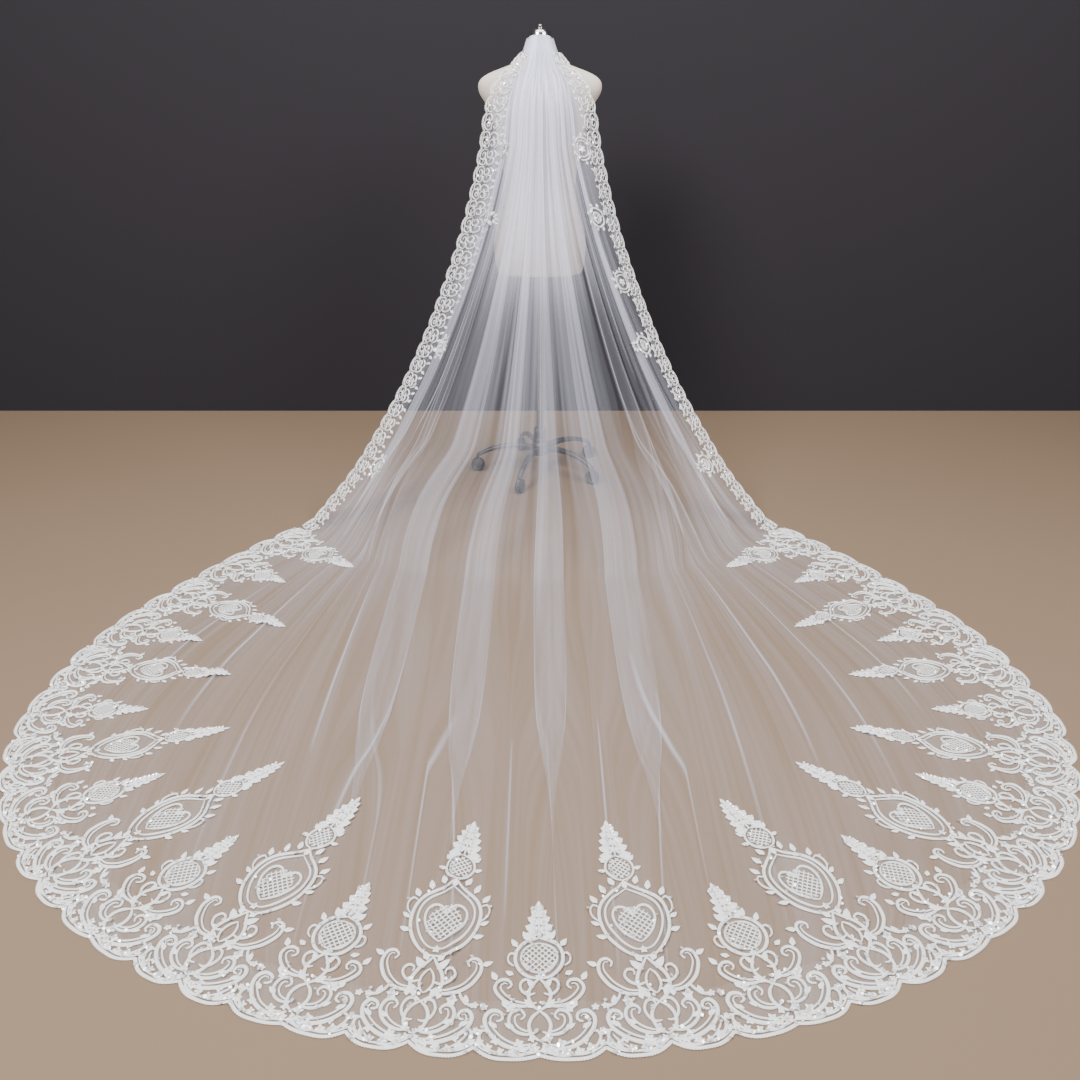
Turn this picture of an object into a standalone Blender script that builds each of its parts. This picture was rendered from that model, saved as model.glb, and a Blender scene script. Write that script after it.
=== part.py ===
"""Bridal veil of soft net with a corded lace border, gathered at the neck of a dress form on a
castered stand. Metres, +Z up. The form's back faces -Y and the train runs out towards -Y."""

import math

import bmesh
import bpy
from mathutils import Vector
from mathutils.bvhtree import BVHTree

for leftover in list(bpy.data.objects):
    bpy.data.objects.remove(leftover, do_unlink=True)

STAND_Y = 1.1886          # the form's axis, so that the whole object is centred on the origin
NET_WALL = 0.0010
LACE_WALL = 0.0012
SEAM = 0.0003

# The train's outline on the floor: distance out from the form's axis, half width.
OUTLINE = (
    {"out": 0.500, "half": 0.800},
    {"out": 0.640, "half": 0.905},
    {"out": 0.920, "half": 1.070},
    {"out": 1.170, "half": 1.190},
    {"out": 1.400, "half": 1.248},
    {"out": 1.590, "half": 1.262},
)
END_MIDDLE = 1.590        # the round end of the train is half an ellipse about this distance
END_HALF_WIDTH = 1.262
END_REACH = 1.036         # tip of the train at 2.626
CORNER = math.radians(62.0)   # how far round the end the last row of the sheet reaches
NET_INSET = 0.030         # the net's solid edge lies this far inside the scallops

# Sections of the hanging part: edge (half width, out, height) and middle (out, height).
FALL = (
    {"edge_x": 0.046, "edge_out": 0.012, "edge_z": 1.486, "mid_out": 0.0580, "mid_z": 1.496},
    {"edge_x": 0.056, "edge_out": 0.048, "edge_z": 1.452, "mid_out": 0.0840, "mid_z": 1.462},
    {"edge_x": 0.088, "edge_out": 0.080, "edge_z": 1.412, "mid_out": 0.1080, "mid_z": 1.414},
    {"edge_x": 0.114, "edge_out": 0.089, "edge_z": 1.382, "mid_out": 0.1210, "mid_z": 1.384},
    {"edge_x": 0.139, "edge_out": 0.096, "edge_z": 1.348, "mid_out": 0.1330, "mid_z": 1.348},
    {"edge_x": 0.162, "edge_out": 0.106, "edge_z": 1.276, "mid_out": 0.1540, "mid_z": 1.276},
    {"edge_x": 0.178, "edge_out": 0.118, "edge_z": 1.176, "mid_out": 0.1760, "mid_z": 1.176},
    {"edge_x": 0.208, "edge_out": 0.136, "edge_z": 1.048, "mid_out": 0.2040, "mid_z": 1.048},
    {"edge_x": 0.250, "edge_out": 0.162, "edge_z": 0.904, "mid_out": 0.2460, "mid_z": 0.904},
    {"edge_x": 0.304, "edge_out": 0.196, "edge_z": 0.756, "mid_out": 0.3020, "mid_z": 0.756},
    {"edge_x": 0.366, "edge_out": 0.236, "edge_z": 0.608, "mid_out": 0.3740, "mid_z": 0.608},
    {"edge_x": 0.436, "edge_out": 0.284, "edge_z": 0.464, "mid_out": 0.4640, "mid_z": 0.460},
    {"edge_x": 0.516, "edge_out": 0.340, "edge_z": 0.324, "mid_out": 0.5760, "mid_z": 0.312},
    {"edge_x": 0.562, "edge_out": 0.371, "edge_z": 0.252, "mid_out": 0.6420, "mid_z": 0.236},
    {"edge_x": 0.616, "edge_out": 0.405, "edge_z": 0.173, "mid_out": 0.7260, "mid_z": 0.155},
    {"edge_x": 0.698, "edge_out": 0.452, "edge_z": 0.078, "mid_out": 0.8480, "mid_z": 0.056},
)
# The rows that lie on the floor: where the row meets the outline, and how far out its middle is.
FLOOR_ROWS = (
    {"edge_out": 0.530, "mid_out": 0.960},
    {"edge_out": 0.660, "mid_out": 1.110},
    {"edge_out": 0.810, "mid_out": 1.270},
    {"edge_out": 0.970, "mid_out": 1.430},
    {"edge_out": 1.110, "mid_out": 1.560},
    {"edge_out": 1.210, "mid_out": 1.660},
    {"edge_out": 1.290, "mid_out": 1.740},
    {"edge_out": 1.370, "mid_out": 1.820},
    {"edge_out": 1.450, "mid_out": 1.900},
    {"edge_out": 1.590, "mid_out": 2.040},
    {"edge_out": 1.760, "mid_out": 2.230},
    {"edge_out": 1.920, "mid_out": 2.420},
)
ARC = math.radians(72.0)  # how strongly each row bows out
STRIP = 0.080             # plain margin beside each hanging edge, under the lace
STRIP_SHARE = 0.45        # the margin's most share of the half width, near the head

# Folds of the net, from left to right: where each starts on the hanging part (share of the half
# width between the margins) and on the floor (metres across; none where it follows the margin),
# and whether it runs on along the train.
FOLDS = (
    {"fall_start": -1.00, "floor_start": None, "on_train": False},
    {"fall_start": -0.80, "floor_start": None, "on_train": False},
    {"fall_start": -0.58, "floor_start": -0.400, "on_train": True},
    {"fall_start": -0.27, "floor_start": -0.222, "on_train": True},
    {"fall_start": -0.06, "floor_start": -0.058, "on_train": True},
    {"fall_start": 0.15, "floor_start": 0.098, "on_train": True},
    {"fall_start": 0.46, "floor_start": 0.286, "on_train": False},
    {"fall_start": 0.76, "floor_start": None, "on_train": False},
)
FOLD_STEPS = 8            # points across each fold
FOLD_TURNS = (-1.00, -0.50, -0.25, 0.00, 0.25, 0.50, 0.72, 0.87)
FOLD_LEVELS = (0.0, 0.35, 0.78, 1.00, 1.22, 1.50, 1.75, 0.95)
GATHER_LEVELS = (0.0, 1.0, 2.0, 1.0, 0.0, 1.0, 2.0, 1.0)
FLOOR_LAYER = 0.0040      # height of one layer of a fold above the one under it on the floor
FALL_LAYER = 0.0080       # the same where the net hangs
HEAD_LAYERS = (0.0036, 0.0044, 0.0022)   # half the depth of the small gathers in each row
HEAD_ROWS = len(HEAD_LAYERS)
MOST_TURN = 0.88          # furthest that a fold doubles back, as a share of its half width
# The folds in the rows just below the head, in the last rows of those that end at the floor and
# in the rows of the train: share of their width that is folded, how far they turn over, height.
BELOW_HEAD = (
    {"narrow": 1.00, "turned": 0.26, "high": 0.40},
    {"narrow": 1.00, "turned": 0.52, "high": 0.75},
)
TO_FLOOR = (
    {"narrow": 0.70, "turned": 1.00, "high": 0.80},
    {"narrow": 0.42, "turned": 0.56, "high": 0.70},
    {"narrow": 0.34, "turned": 0.42, "high": 0.75},
    {"narrow": 0.42, "turned": 0.18, "high": 0.28},
    {"narrow": 1.00, "turned": 0.00, "high": 0.00},
)
TRAIN = (
    {"narrow": 1.00, "turned": 1.00, "high": 1.0},
    {"narrow": 0.98, "turned": 1.00, "high": 1.0},
    {"narrow": 0.90, "turned": 1.00, "high": 1.0},
    {"narrow": 0.78, "turned": 1.00, "high": 1.0},
    {"narrow": 0.60, "turned": 1.00, "high": 1.0},
    {"narrow": 0.42, "turned": 1.00, "high": 1.0},
    {"narrow": 0.24, "turned": 0.56, "high": 1.0},
    {"narrow": 0.18, "turned": 0.42, "high": 1.0},
    {"narrow": 0.26, "turned": 0.18, "high": 0.5},
)
LAID_FLAT = {"narrow": 1.00, "turned": 0.00, "high": 0.0}
HANGING = {"narrow": 1.00, "turned": 1.00, "high": 1.0}
ROW_EASE = 0.2            # how much a row's wall leans with the rows beside it
TOUCH_ROW = len(FALL)
SETTLE_ROWS = 4           # rows over which the folds come down from hanging to lying
LIFT_STEP = 0.01          # share of the width over which the form's slope is taken

# Lace border: one repeat is a tall motif and a short one, each a cell wide.
MOTIF_CELLS = 13.5        # cells from the tip of the train to where its edge leaves the floor
SCALLOP_DEPTH = 0.020
STRIP_DEPTH = 0.130       # depth of the running part of the border, between two motifs
SPREAD_FROM = 0.050       # the running part follows the outline up to this depth,
SPREAD_TO = 0.150         # and beyond this one a motif keeps its own straight middle line
TALL_BODY = (
    {"half": 0.092, "deep": 0.138},
    {"half": 0.092, "deep": 0.184},
    {"half": 0.026, "deep": 0.224},
    {"half": 0.066, "deep": 0.282},
    {"half": 0.068, "deep": 0.344},
    {"half": 0.022, "deep": 0.402},
    {"half": 0.037, "deep": 0.440},
    {"half": 0.018, "deep": 0.482},
    {"half": 0.008, "deep": 0.562},
)
SHORT_BODY = (
    {"half": 0.088, "deep": 0.134},
    {"half": 0.076, "deep": 0.166},
    {"half": 0.034, "deep": 0.178},
    {"half": 0.045, "deep": 0.224},
    {"half": 0.018, "deep": 0.276},
    {"half": 0.007, "deep": 0.350},
)
# Openings: place across and in from the edge, half width, half depth, corners; a place off the
# middle line is cut on both sides.
TALL_HOLES = (
    {"across": 0.052, "deep": 0.068, "half": 0.028, "rise": 0.022, "corners": 5},
    {"across": 0.022, "deep": 0.136, "half": 0.014, "rise": 0.026, "corners": 4},
    {"across": 0.072, "deep": 0.152, "half": 0.013, "rise": 0.015, "corners": 4},
    {"across": 0.044, "deep": 0.320, "half": 0.009, "rise": 0.030, "corners": 4},
    {"across": 0.000, "deep": 0.284, "half": 0.016, "rise": 0.018, "corners": 4},
    {"across": 0.000, "deep": 0.346, "half": 0.017, "rise": 0.020, "corners": 4},
    {"across": 0.000, "deep": 0.434, "half": 0.014, "rise": 0.018, "corners": 4},
)
SHORT_HOLES = (
    {"across": 0.050, "deep": 0.074, "half": 0.027, "rise": 0.024, "corners": 5},
    {"across": 0.000, "deep": 0.136, "half": 0.015, "rise": 0.020, "corners": 4},
    {"across": 0.000, "deep": 0.220, "half": 0.017, "rise": 0.020, "corners": 4},
)
SIDE_FIRST_CELL = 8       # the side borders start at this cell, counted from the tip
FALL_LACE_FROM = 2        # first row of the sheet under the hanging lace
FALL_SCALLOP = 0.022
FALL_LACE_MIDDLE = 0.40   # how far the hanging border's openings start in from its edge
FALL_LACE_INSIDE = (0.72, 0.92)   # how far in it reaches, between two of its scallops and at one
FIRST_OPENING = 4         # its first opening, counted in half rows from its top
EDGE_STEPS = 6            # points along the scalloped edge of one cell, three to a scallop
SCALLOP_CREST = 0.12      # how far the crest's points lie in from the edge, in scallop depths
CELL_REACH = 0.49         # beyond this share of a cell from its middle a point keeps the outline
BODY_REACH = 0.47         # a motif reaches no further across than this share of its cell
OUTLINE_STEPS = 1200      # points on each length of the train's measured outline
WAY_STEPS = 20            # points either side from which the outline's direction is taken
LOOK_FROM = 0.60          # height from which the net under the lace is looked for
LOOK_ROUND = 0.018        # and how far round each point of the lace
FALL_LACE_LIFT = 5.0      # seams of room under the hanging border, where the net is bent

# The form: sections up its height with half width, depth behind and in front of its axis.
TORSO = (
    {"z": 0.742, "half": 0.146, "back": 0.086, "front": 0.086},
    {"z": 0.760, "half": 0.152, "back": 0.091, "front": 0.092},
    {"z": 0.840, "half": 0.164, "back": 0.108, "front": 0.102},
    {"z": 0.920, "half": 0.148, "back": 0.092, "front": 0.098},
    {"z": 1.010, "half": 0.122, "back": 0.070, "front": 0.090},
    {"z": 1.060, "half": 0.120, "back": 0.068, "front": 0.092},
    {"z": 1.130, "half": 0.132, "back": 0.076, "front": 0.108},
    {"z": 1.200, "half": 0.146, "back": 0.084, "front": 0.124},
    {"z": 1.262, "half": 0.156, "back": 0.086, "front": 0.116},
    {"z": 1.296, "half": 0.174, "back": 0.080, "front": 0.096},
    {"z": 1.326, "half": 0.196, "back": 0.072, "front": 0.078},
    {"z": 1.352, "half": 0.200, "back": 0.064, "front": 0.066},
    {"z": 1.376, "half": 0.190, "back": 0.056, "front": 0.058},
    {"z": 1.396, "half": 0.150, "back": 0.048, "front": 0.052},
    {"z": 1.412, "half": 0.104, "back": 0.044, "front": 0.050},
    {"z": 1.430, "half": 0.066, "back": 0.042, "front": 0.048},
    {"z": 1.452, "half": 0.052, "back": 0.040, "front": 0.046},
    {"z": 1.480, "half": 0.047, "back": 0.038, "front": 0.046},
    {"z": 1.494, "half": 0.044, "back": 0.036, "front": 0.044},
)
TORSO_SIDES = 28
NECK_CAP = (
    {"z": 1.4943, "radius": 0.0400},
    {"z": 1.5000, "radius": 0.0400},
    {"z": 1.5030, "radius": 0.0350},
    {"z": 1.5060, "radius": 0.0110},
    {"z": 1.5160, "radius": 0.0090},
    {"z": 1.5240, "radius": 0.0130},
    {"z": 1.5320, "radius": 0.0120},
    {"z": 1.5370, "radius": 0.0060},
)
POLE_RADIUS = 0.013
POLE_BOTTOM = 0.1715
SLEEVE = (
    {"z": 0.1180, "radius": 0.0235},
    {"z": 0.1600, "radius": 0.0225},
    {"z": 0.1712, "radius": 0.0190},
)
HUB = (
    {"z": 0.0640, "radius": 0.0250},
    {"z": 0.0700, "radius": 0.0330},
    {"z": 0.1080, "radius": 0.0330},
    {"z": 0.1177, "radius": 0.0260},
)
LEG_COUNT = 5
LEG_FIRST = math.radians(180.0)
LEG = (
    {"out": 0.0333, "z": 0.0920, "wide": 0.0110, "high": 0.0130},
    {"out": 0.0900, "z": 0.1000, "wide": 0.0105, "high": 0.0110},
    {"out": 0.1500, "z": 0.0950, "wide": 0.0100, "high": 0.0095},
    {"out": 0.2050, "z": 0.0780, "wide": 0.0095, "high": 0.0085},
    {"out": 0.2420, "z": 0.0577, "wide": 0.0090, "high": 0.0080},
)
LEG_SIDES = 8
WHEEL_RADIUS = 0.0250
WHEEL_HALF = 0.0110
WHEEL_OUT = 0.2360
BAND_SPAN = math.radians(78.0)  # how far round the neck the gathering band reaches each way
BAND_Z = (1.4560, 1.4700, 1.4840)
BAND_GAP = 0.0006
BAND_WALL = 0.0020
BAND_STEPS = 14
CAP_SIDES = 16
SLEEVE_SIDES = 18
HUB_SIDES = 20
# Colour, roughness and metal of each finish.
FINISHES = {
    "net": ((0.93, 0.93, 0.95), 0.55, 0.0),
    "corded_lace": ((0.95, 0.94, 0.91), 0.60, 0.0),
    "band": ((0.90, 0.90, 0.90), 0.50, 0.0),
    "form_cover": ((0.78, 0.72, 0.66), 0.80, 0.0),
    "cap_steel": ((0.55, 0.55, 0.57), 0.30, 0.9),
    "pole_steel": ((0.35, 0.35, 0.37), 0.40, 0.8),
    "sleeve": ((0.06, 0.06, 0.07), 0.50, 0.0),
    "hub": ((0.08, 0.08, 0.09), 0.45, 0.0),
    "legs": ((0.07, 0.07, 0.08), 0.45, 0.0),
    "casters": ((0.03, 0.03, 0.035), 0.60, 0.0),
}


def pieceMaterial(name):
    """A plain material with one of the finishes."""
    colour, roughness, metallic = FINISHES[name]
    material = bpy.data.materials.new(name)
    material.use_nodes = True
    shader = material.node_tree.nodes["Principled BSDF"]
    shader.inputs["Base Color"].default_value = (*colour, 1.0)
    shader.inputs["Roughness"].default_value = roughness
    shader.inputs["Metallic"].default_value = metallic
    return material


def addPiece(name, mesh, material, smooth=True):
    """Put a finished bmesh in the scene as one named object."""
    bmesh.ops.recalc_face_normals(mesh, faces=mesh.faces)
    data = bpy.data.meshes.new(name)
    mesh.to_mesh(data)
    mesh.free()
    for face in data.polygons:
        face.use_smooth = smooth
    piece = bpy.data.objects.new(name, data)
    piece.data.materials.append(material)
    bpy.context.collection.objects.link(piece)
    return piece


def outlineHalf(out):
    """Half width of the train's outline at a distance out from the form."""
    if out >= END_MIDDLE:
        share = min((out - END_MIDDLE) / END_REACH, 1.0)
        return END_HALF_WIDTH * math.sqrt(1.0 - share * share)
    slopes = [(b["half"] - a["half"]) / (b["out"] - a["out"]) for a, b in zip(OUTLINE, OUTLINE[1:])]
    slopes = [slopes[0]] + [(a + b) / 2.0 for a, b in zip(slopes, slopes[1:])] + [0.0]
    number = max(i for i, row in enumerate(OUTLINE[:-1]) if i == 0 or row["out"] <= out)
    near, far = OUTLINE[number], OUTLINE[number + 1]
    span = far["out"] - near["out"]
    x = (out - near["out"]) / span
    rise = x * x * (3.0 - 2.0 * x)
    bend = slopes[number] * (x - 2.0 * x ** 2 + x ** 3) + slopes[number + 1] * (x ** 3 - x ** 2)
    return near["half"] + (far["half"] - near["half"]) * rise + bend * span


def sections():
    """Every row of the sheet as edge half width, out and height, and middle out and height."""
    rows = [(s["edge_x"], s["edge_out"], s["edge_z"], s["mid_out"], s["mid_z"]) for s in FALL]
    for row in FLOOR_ROWS:
        half = outlineHalf(row["edge_out"]) - NET_INSET
        rows.append((half, row["edge_out"], 0.0, row["mid_out"], 0.0))
    corner_half = (END_HALF_WIDTH - NET_INSET) * math.sin(CORNER)
    corner_out = END_MIDDLE + (END_REACH - NET_INSET) * math.cos(CORNER)
    rows.append((corner_half, corner_out, 0.0, END_MIDDLE + END_REACH - NET_INSET, 0.0))
    return rows


ROWS = sections()


def basePoint(row, across):
    """Point of the sheet's own form, without folds."""
    half, edge_out, edge_z, mid_out, mid_z = ROWS[row]
    bend = CORNER if row == len(ROWS) - 1 else ARC
    side = math.sin(bend * across) / math.sin(bend)
    bow = (math.cos(bend * across) - math.cos(bend)) / (1.0 - math.cos(bend))
    out = edge_out + (mid_out - edge_out) * bow
    return Vector((half * side, STAND_Y - out, edge_z + (mid_z - edge_z) * bow))


def liftDirection(row, across):
    """Outward direction of the sheet's own form, straight up on the floor."""
    if row >= TOUCH_ROW:
        return Vector((0.0, 0.0, 1.0))
    along = basePoint(row, across + LIFT_STEP) - basePoint(row, across - LIFT_STEP)
    up = basePoint(max(row - 1, 0), across) - basePoint(row + 1, across)
    return along.cross(up).normalized()


def settled(row):
    """0 while the folds hang, 1 where they lie on the floor."""
    return min(1.0, max(0.0, (row - TOUCH_ROW + SETTLE_ROWS) / SETTLE_ROWS))


def marginShare(row):
    """Where the plain margin ends, as a place across the sheet."""
    half = ROWS[row][0]
    return 1.0 - min(STRIP, STRIP_SHARE * half) / half


def foldStarts(row):
    """Where each fold starts across the sheet, and the end of the last one."""
    margin = marginShare(row)
    half = ROWS[row][0]
    falling = [fold["fall_start"] * margin for fold in FOLDS] + [margin]
    laid = [-margin if fold["floor_start"] is None else fold["floor_start"] / half for fold in FOLDS]
    laid.append(margin)
    laid[1] = (laid[0] + laid[2]) / 2.0
    laid[-2] = (laid[-3] + laid[-1]) / 2.0
    share = settled(row)
    return [a + (b - a) * share for a, b in zip(falling, laid)]


def foldState(number, row):
    """How a fold stands at a row, and the height of its layers."""
    share = settled(row)
    layer = FALL_LAYER + (FLOOR_LAYER - FALL_LAYER) * share
    last = TOUCH_ROW - len(TO_FLOOR) + 1
    if row < HEAD_ROWS + len(BELOW_HEAD):
        return BELOW_HEAD[row - HEAD_ROWS], layer
    if not FOLDS[number]["on_train"] and row >= last:
        return (TO_FLOOR[row - last] if row <= TOUCH_ROW else LAID_FLAT), FALL_LAYER
    if row >= TOUCH_ROW + len(TRAIN):
        return LAID_FLAT, layer
    return (TRAIN[row - TOUCH_ROW] if row >= TOUCH_ROW else HANGING), layer


def foldPoints(number, row, start, end):
    """Places across and lifts of one fold, which doubles back over itself as an S."""
    half = (end - start) / 2.0
    middle = (end + start) / 2.0
    if row < HEAD_ROWS:
        return [(start + (end - start) * step / FOLD_STEPS, HEAD_LAYERS[row] * level)
                for step, level in enumerate(GATHER_LEVELS)]
    state, layer = foldState(number, row)
    folded = half * state["narrow"]
    push = MOST_TURN * folded * state["turned"]
    points = [(start, 0.0)]
    for turn, level in zip(FOLD_TURNS[1:], FOLD_LEVELS[1:]):
        across = middle + folded * turn - push * math.sin(math.pi * turn)
        points.append((across, layer * state["high"] * level))
    return points


def sheetRow(row):
    """The sheet's inner points along one row."""
    starts = foldStarts(row)
    places = [(-1.0, 0.0), ((starts[0] - 1.0) / 2.0, 0.0)]
    for number in range(len(FOLDS)):
        places += foldPoints(number, row, starts[number], starts[number + 1])
    places += [(starts[-1], 0.0), ((starts[-1] + 1.0) / 2.0, 0.0), (1.0, 0.0)]
    return [basePoint(row, across) + liftDirection(row, across) * lift for across, lift in places]


def wallMesh(inner, outer, left_out=()):
    """A closed wall between two grids of points, without the cells that are left out."""
    mesh = bmesh.new()
    rows, columns = len(inner), len(inner[0])
    near = [[mesh.verts.new(point) for point in line] for line in inner]
    far = [[mesh.verts.new(point) for point in line] for line in outer]
    sides = {}
    for i in range(rows - 1):
        for j in range(columns - 1):
            if (i, j) in left_out:
                continue
            corners = ((i, j), (i, j + 1), (i + 1, j + 1), (i + 1, j))
            first = near[i][j].co - near[i + 1][j + 1].co
            second = near[i][j + 1].co - near[i + 1][j].co
            turned = corners if first.length <= second.length else corners[1:] + corners[:1]
            for half in (turned[:3], (turned[0], turned[2], turned[3])):
                mesh.faces.new([near[a][b] for a, b in half])
                mesh.faces.new([far[a][b] for a, b in reversed(half)])
            for first, second in zip(corners, corners[1:] + corners[:1]):
                key = tuple(sorted((first, second)))
                sides.setdefault(key, []).append((first, second))
    for edges in sides.values():
        if len(edges) == 1:
            (a, b), (c, d) = edges[0]
            mesh.faces.new((near[c][d], near[a][b], far[a][b], far[c][d]))
    return mesh


def gridNormals(grid):
    """The sheet's own normal at each point of a grid, which turns over in each fold."""
    normals = []
    for i, line in enumerate(grid):
        above = grid[max(i - 1, 0)]
        below = grid[min(i + 1, len(grid) - 1)]
        found = []
        for j, point in enumerate(line):
            down = below[j] - above[j]
            normal = Vector()
            for near, far in ((max(j - 1, 0), j), (j, min(j + 1, len(line) - 1))):
                normal += down.cross(line[far] - line[near]).normalized()
            found.append(normal.normalized())
        normals.append(found)
    return normals


def movedOut(grid, distance):
    """A grid of points moved along the normal, eased between rows so that no wall pinches."""
    normals = gridNormals(grid)
    moved = []
    for i, line in enumerate(grid):
        outer = []
        for j, point in enumerate(line):
            beside = normals[max(i - 1, 0)][j] + normals[min(i + 1, len(grid) - 1)][j]
            eased = normals[i][j] + beside * ROW_EASE
            outer.append(point + eased.normalized() * distance)
        moved.append(outer)
    return moved


net_inner = [sheetRow(row) for row in range(len(ROWS))]
for line in net_inner[TOUCH_ROW:]:
    for point in line:
        point.z = max(point.z, 0.0)
net_outer = movedOut(net_inner, NET_WALL)
addPiece("tulle", wallMesh(net_inner, net_outer), pieceMaterial("net"))

def outlinePath():
    """The right half of the train's outline from its tip, as points with the way along so far."""
    path = [(0.0, 0.0, END_MIDDLE + END_REACH)]
    for step in range(1, OUTLINE_STEPS + 1):
        angle = math.pi / 2.0 * step / OUTLINE_STEPS
        point = (END_HALF_WIDTH * math.sin(angle), END_MIDDLE + END_REACH * math.cos(angle))
        path.append((path[-1][0] + math.dist(path[-1][1:], point), *point))
    first, last = END_MIDDLE, ROWS[TOUCH_ROW][1]
    for step in range(1, OUTLINE_STEPS + 1):
        out = first + (last - first) * step / OUTLINE_STEPS
        point = (outlineHalf(out), out)
        path.append((path[-1][0] + math.dist(path[-1][1:], point), *point))
    return path


OUTLINE_PATH = outlinePath()
OUTLINE_LENGTH = OUTLINE_PATH[-1][0]
CELL = OUTLINE_LENGTH / MOTIF_CELLS


def outlineAt(along):
    """Point on the outline and the direction along it; negative lengths are on the left."""
    length = min(abs(along), OUTLINE_LENGTH)
    low, high = 0, len(OUTLINE_PATH) - 1
    while high - low > 1:
        middle = (low + high) // 2
        if OUTLINE_PATH[middle][0] <= length:
            low = middle
        else:
            high = middle
    before, after = OUTLINE_PATH[low], OUTLINE_PATH[high]
    share = (length - before[0]) / (after[0] - before[0])
    point = Vector((before[1] + (after[1] - before[1]) * share,
                    STAND_Y - before[2] - (after[2] - before[2]) * share))
    wide = OUTLINE_PATH[min(high + WAY_STEPS, len(OUTLINE_PATH) - 1)]
    back = OUTLINE_PATH[max(low - WAY_STEPS, 0)]
    way = Vector((wide[1] - back[1], back[2] - wide[2])).normalized()
    if along < 0.0:
        return Vector((-point.x, point.y)), Vector((way.x, -way.y))
    return point, way


def lacePoint(cell, across, deep):
    """Place on the floor of a point of a motif, given across its cell and in from the edge."""
    share = min(1.0, max(0.0, (deep - SPREAD_FROM) / (SPREAD_TO - SPREAD_FROM)))
    curved, way = outlineAt(cell * CELL + across)
    curved = curved + Vector((-way.y, way.x)) * deep
    middle, way = outlineAt(cell * CELL)
    straight = middle + way * across + Vector((-way.y, way.x)) * deep
    return curved.lerp(straight, share if abs(across) < CELL * CELL_REACH else 0.0)


def cellEdge(cell):
    """Scalloped outer points of one cell, from left to right."""
    points = []
    for step in range(EDGE_STEPS):
        across = CELL * (step / EDGE_STEPS - 0.5)
        valley = SCALLOP_CREST if step % (EDGE_STEPS // 2) else 1.0
        points.append(lacePoint(cell, across, SCALLOP_DEPTH * valley))
    return points


def cellBody(cell, body):
    """Inner points of one cell, from right to left."""
    right = [lacePoint(cell, min(row["half"], CELL * BODY_REACH), row["deep"]) for row in body]
    left = [lacePoint(cell, -min(row["half"], CELL * BODY_REACH), row["deep"]) for row in reversed(body)]
    return right + left


def cellHoles(cell, holes):
    """Openings of one cell."""
    loops = []
    for hole in holes:
        for side in ((1.0, -1.0) if hole["across"] else (1.0,)):
            loop = []
            for corner in range(hole["corners"]):
                angle = math.tau * corner / hole["corners"] + math.pi / 2.0
                across = side * hole["across"] + hole["half"] * math.cos(angle)
                loop.append(lacePoint(cell, across, hole["deep"] + hole["rise"] * math.sin(angle)))
            loops.append(loop)
    return loops


net_skin = BVHTree.FromPolygons(
    [point for line in net_outer for point in line],
    [(i * len(net_outer[0]) + j, i * len(net_outer[0]) + j + 1,
      (i + 1) * len(net_outer[0]) + j + 1, (i + 1) * len(net_outer[0]) + j)
     for i in range(len(net_outer) - 1) for j in range(len(net_outer[0]) - 1)])


def restHeight(place):
    """Height of the lace's underside where it lies on the net, clear of what rises beside it."""
    height = NET_WALL
    for dx, dy in ((0, 0), (1, 0), (-1, 0), (0, 1), (0, -1)):
        start = Vector((place.x + dx * LOOK_ROUND, place.y + dy * LOOK_ROUND, LOOK_FROM))
        hit = net_skin.ray_cast(start, Vector((0.0, 0.0, -1.0)))
        if hit[0] is not None:
            height = max(height, hit[0].z)
    return height + SEAM


def floorLace(name, cells, trim_start, trim_end, material):
    """One length of border on the floor: a flat region with openings, given a wall."""
    outer, inner, holes = [], [], []
    for cell in cells:
        tall = cell % 2 == 1
        outer += cellEdge(cell)
        inner = cellBody(cell, TALL_BODY if tall else SHORT_BODY) + inner
        holes += cellHoles(cell, TALL_HOLES if tall else SHORT_HOLES)
    last = cells[-1]
    outer.append(lacePoint(last, CELL / 2.0, SCALLOP_DEPTH))
    first_end = lacePoint(cells[0], -CELL / 2.0 + trim_start, STRIP_DEPTH)
    last_end = lacePoint(last, CELL / 2.0 - trim_end, STRIP_DEPTH)
    outer[0] = lacePoint(cells[0], -CELL / 2.0 + trim_start, SCALLOP_DEPTH)
    outer[-1] = lacePoint(last, CELL / 2.0 - trim_end, SCALLOP_DEPTH)
    loops = [outer + [last_end] + inner + [first_end]] + holes
    flat = bmesh.new()
    for loop in loops:
        corners = [flat.verts.new((place.x, place.y, 0.0)) for place in loop]
        for near, far in zip(corners, corners[1:] + corners[:1]):
            flat.edges.new((near, far))
    bmesh.ops.triangle_fill(flat, use_beauty=True, use_dissolve=False, edges=flat.edges[:])
    flat.verts.index_update()
    places = [vertex.co.copy() for vertex in flat.verts]
    faces = [[vertex.index for vertex in face.verts] for face in flat.faces]
    flat.free()
    mesh = bmesh.new()
    bottom = [mesh.verts.new((p.x, p.y, restHeight(p))) for p in places]
    top = [mesh.verts.new(vertex.co + Vector((0.0, 0.0, LACE_WALL))) for vertex in bottom]
    for face in faces:
        mesh.faces.new([bottom[i] for i in face])
        mesh.faces.new([top[i] for i in reversed(face)])
    count = 0
    for loop in loops:
        ring = list(range(count, count + len(loop)))
        count += len(loop)
        for near, far in zip(ring, ring[1:] + ring[:1]):
            mesh.faces.new((bottom[near], bottom[far], top[far], top[near]))
    return addPiece(name, mesh, material, smooth=False)


lace_material = pieceMaterial("corded_lace")
last_cell = int(MOTIF_CELLS - 0.5)
floorLace("lace_train_end", list(range(1 - SIDE_FIRST_CELL, SIDE_FIRST_CELL)), SEAM, SEAM,
          lace_material)
floorLace("lace_train_right", list(range(SIDE_FIRST_CELL, last_cell + 1)), 0.0, 0.0,
          lace_material)
floorLace("lace_train_left", list(range(-last_cell, 1 - SIDE_FIRST_CELL)), 0.0, 0.0,
          lace_material)


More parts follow.
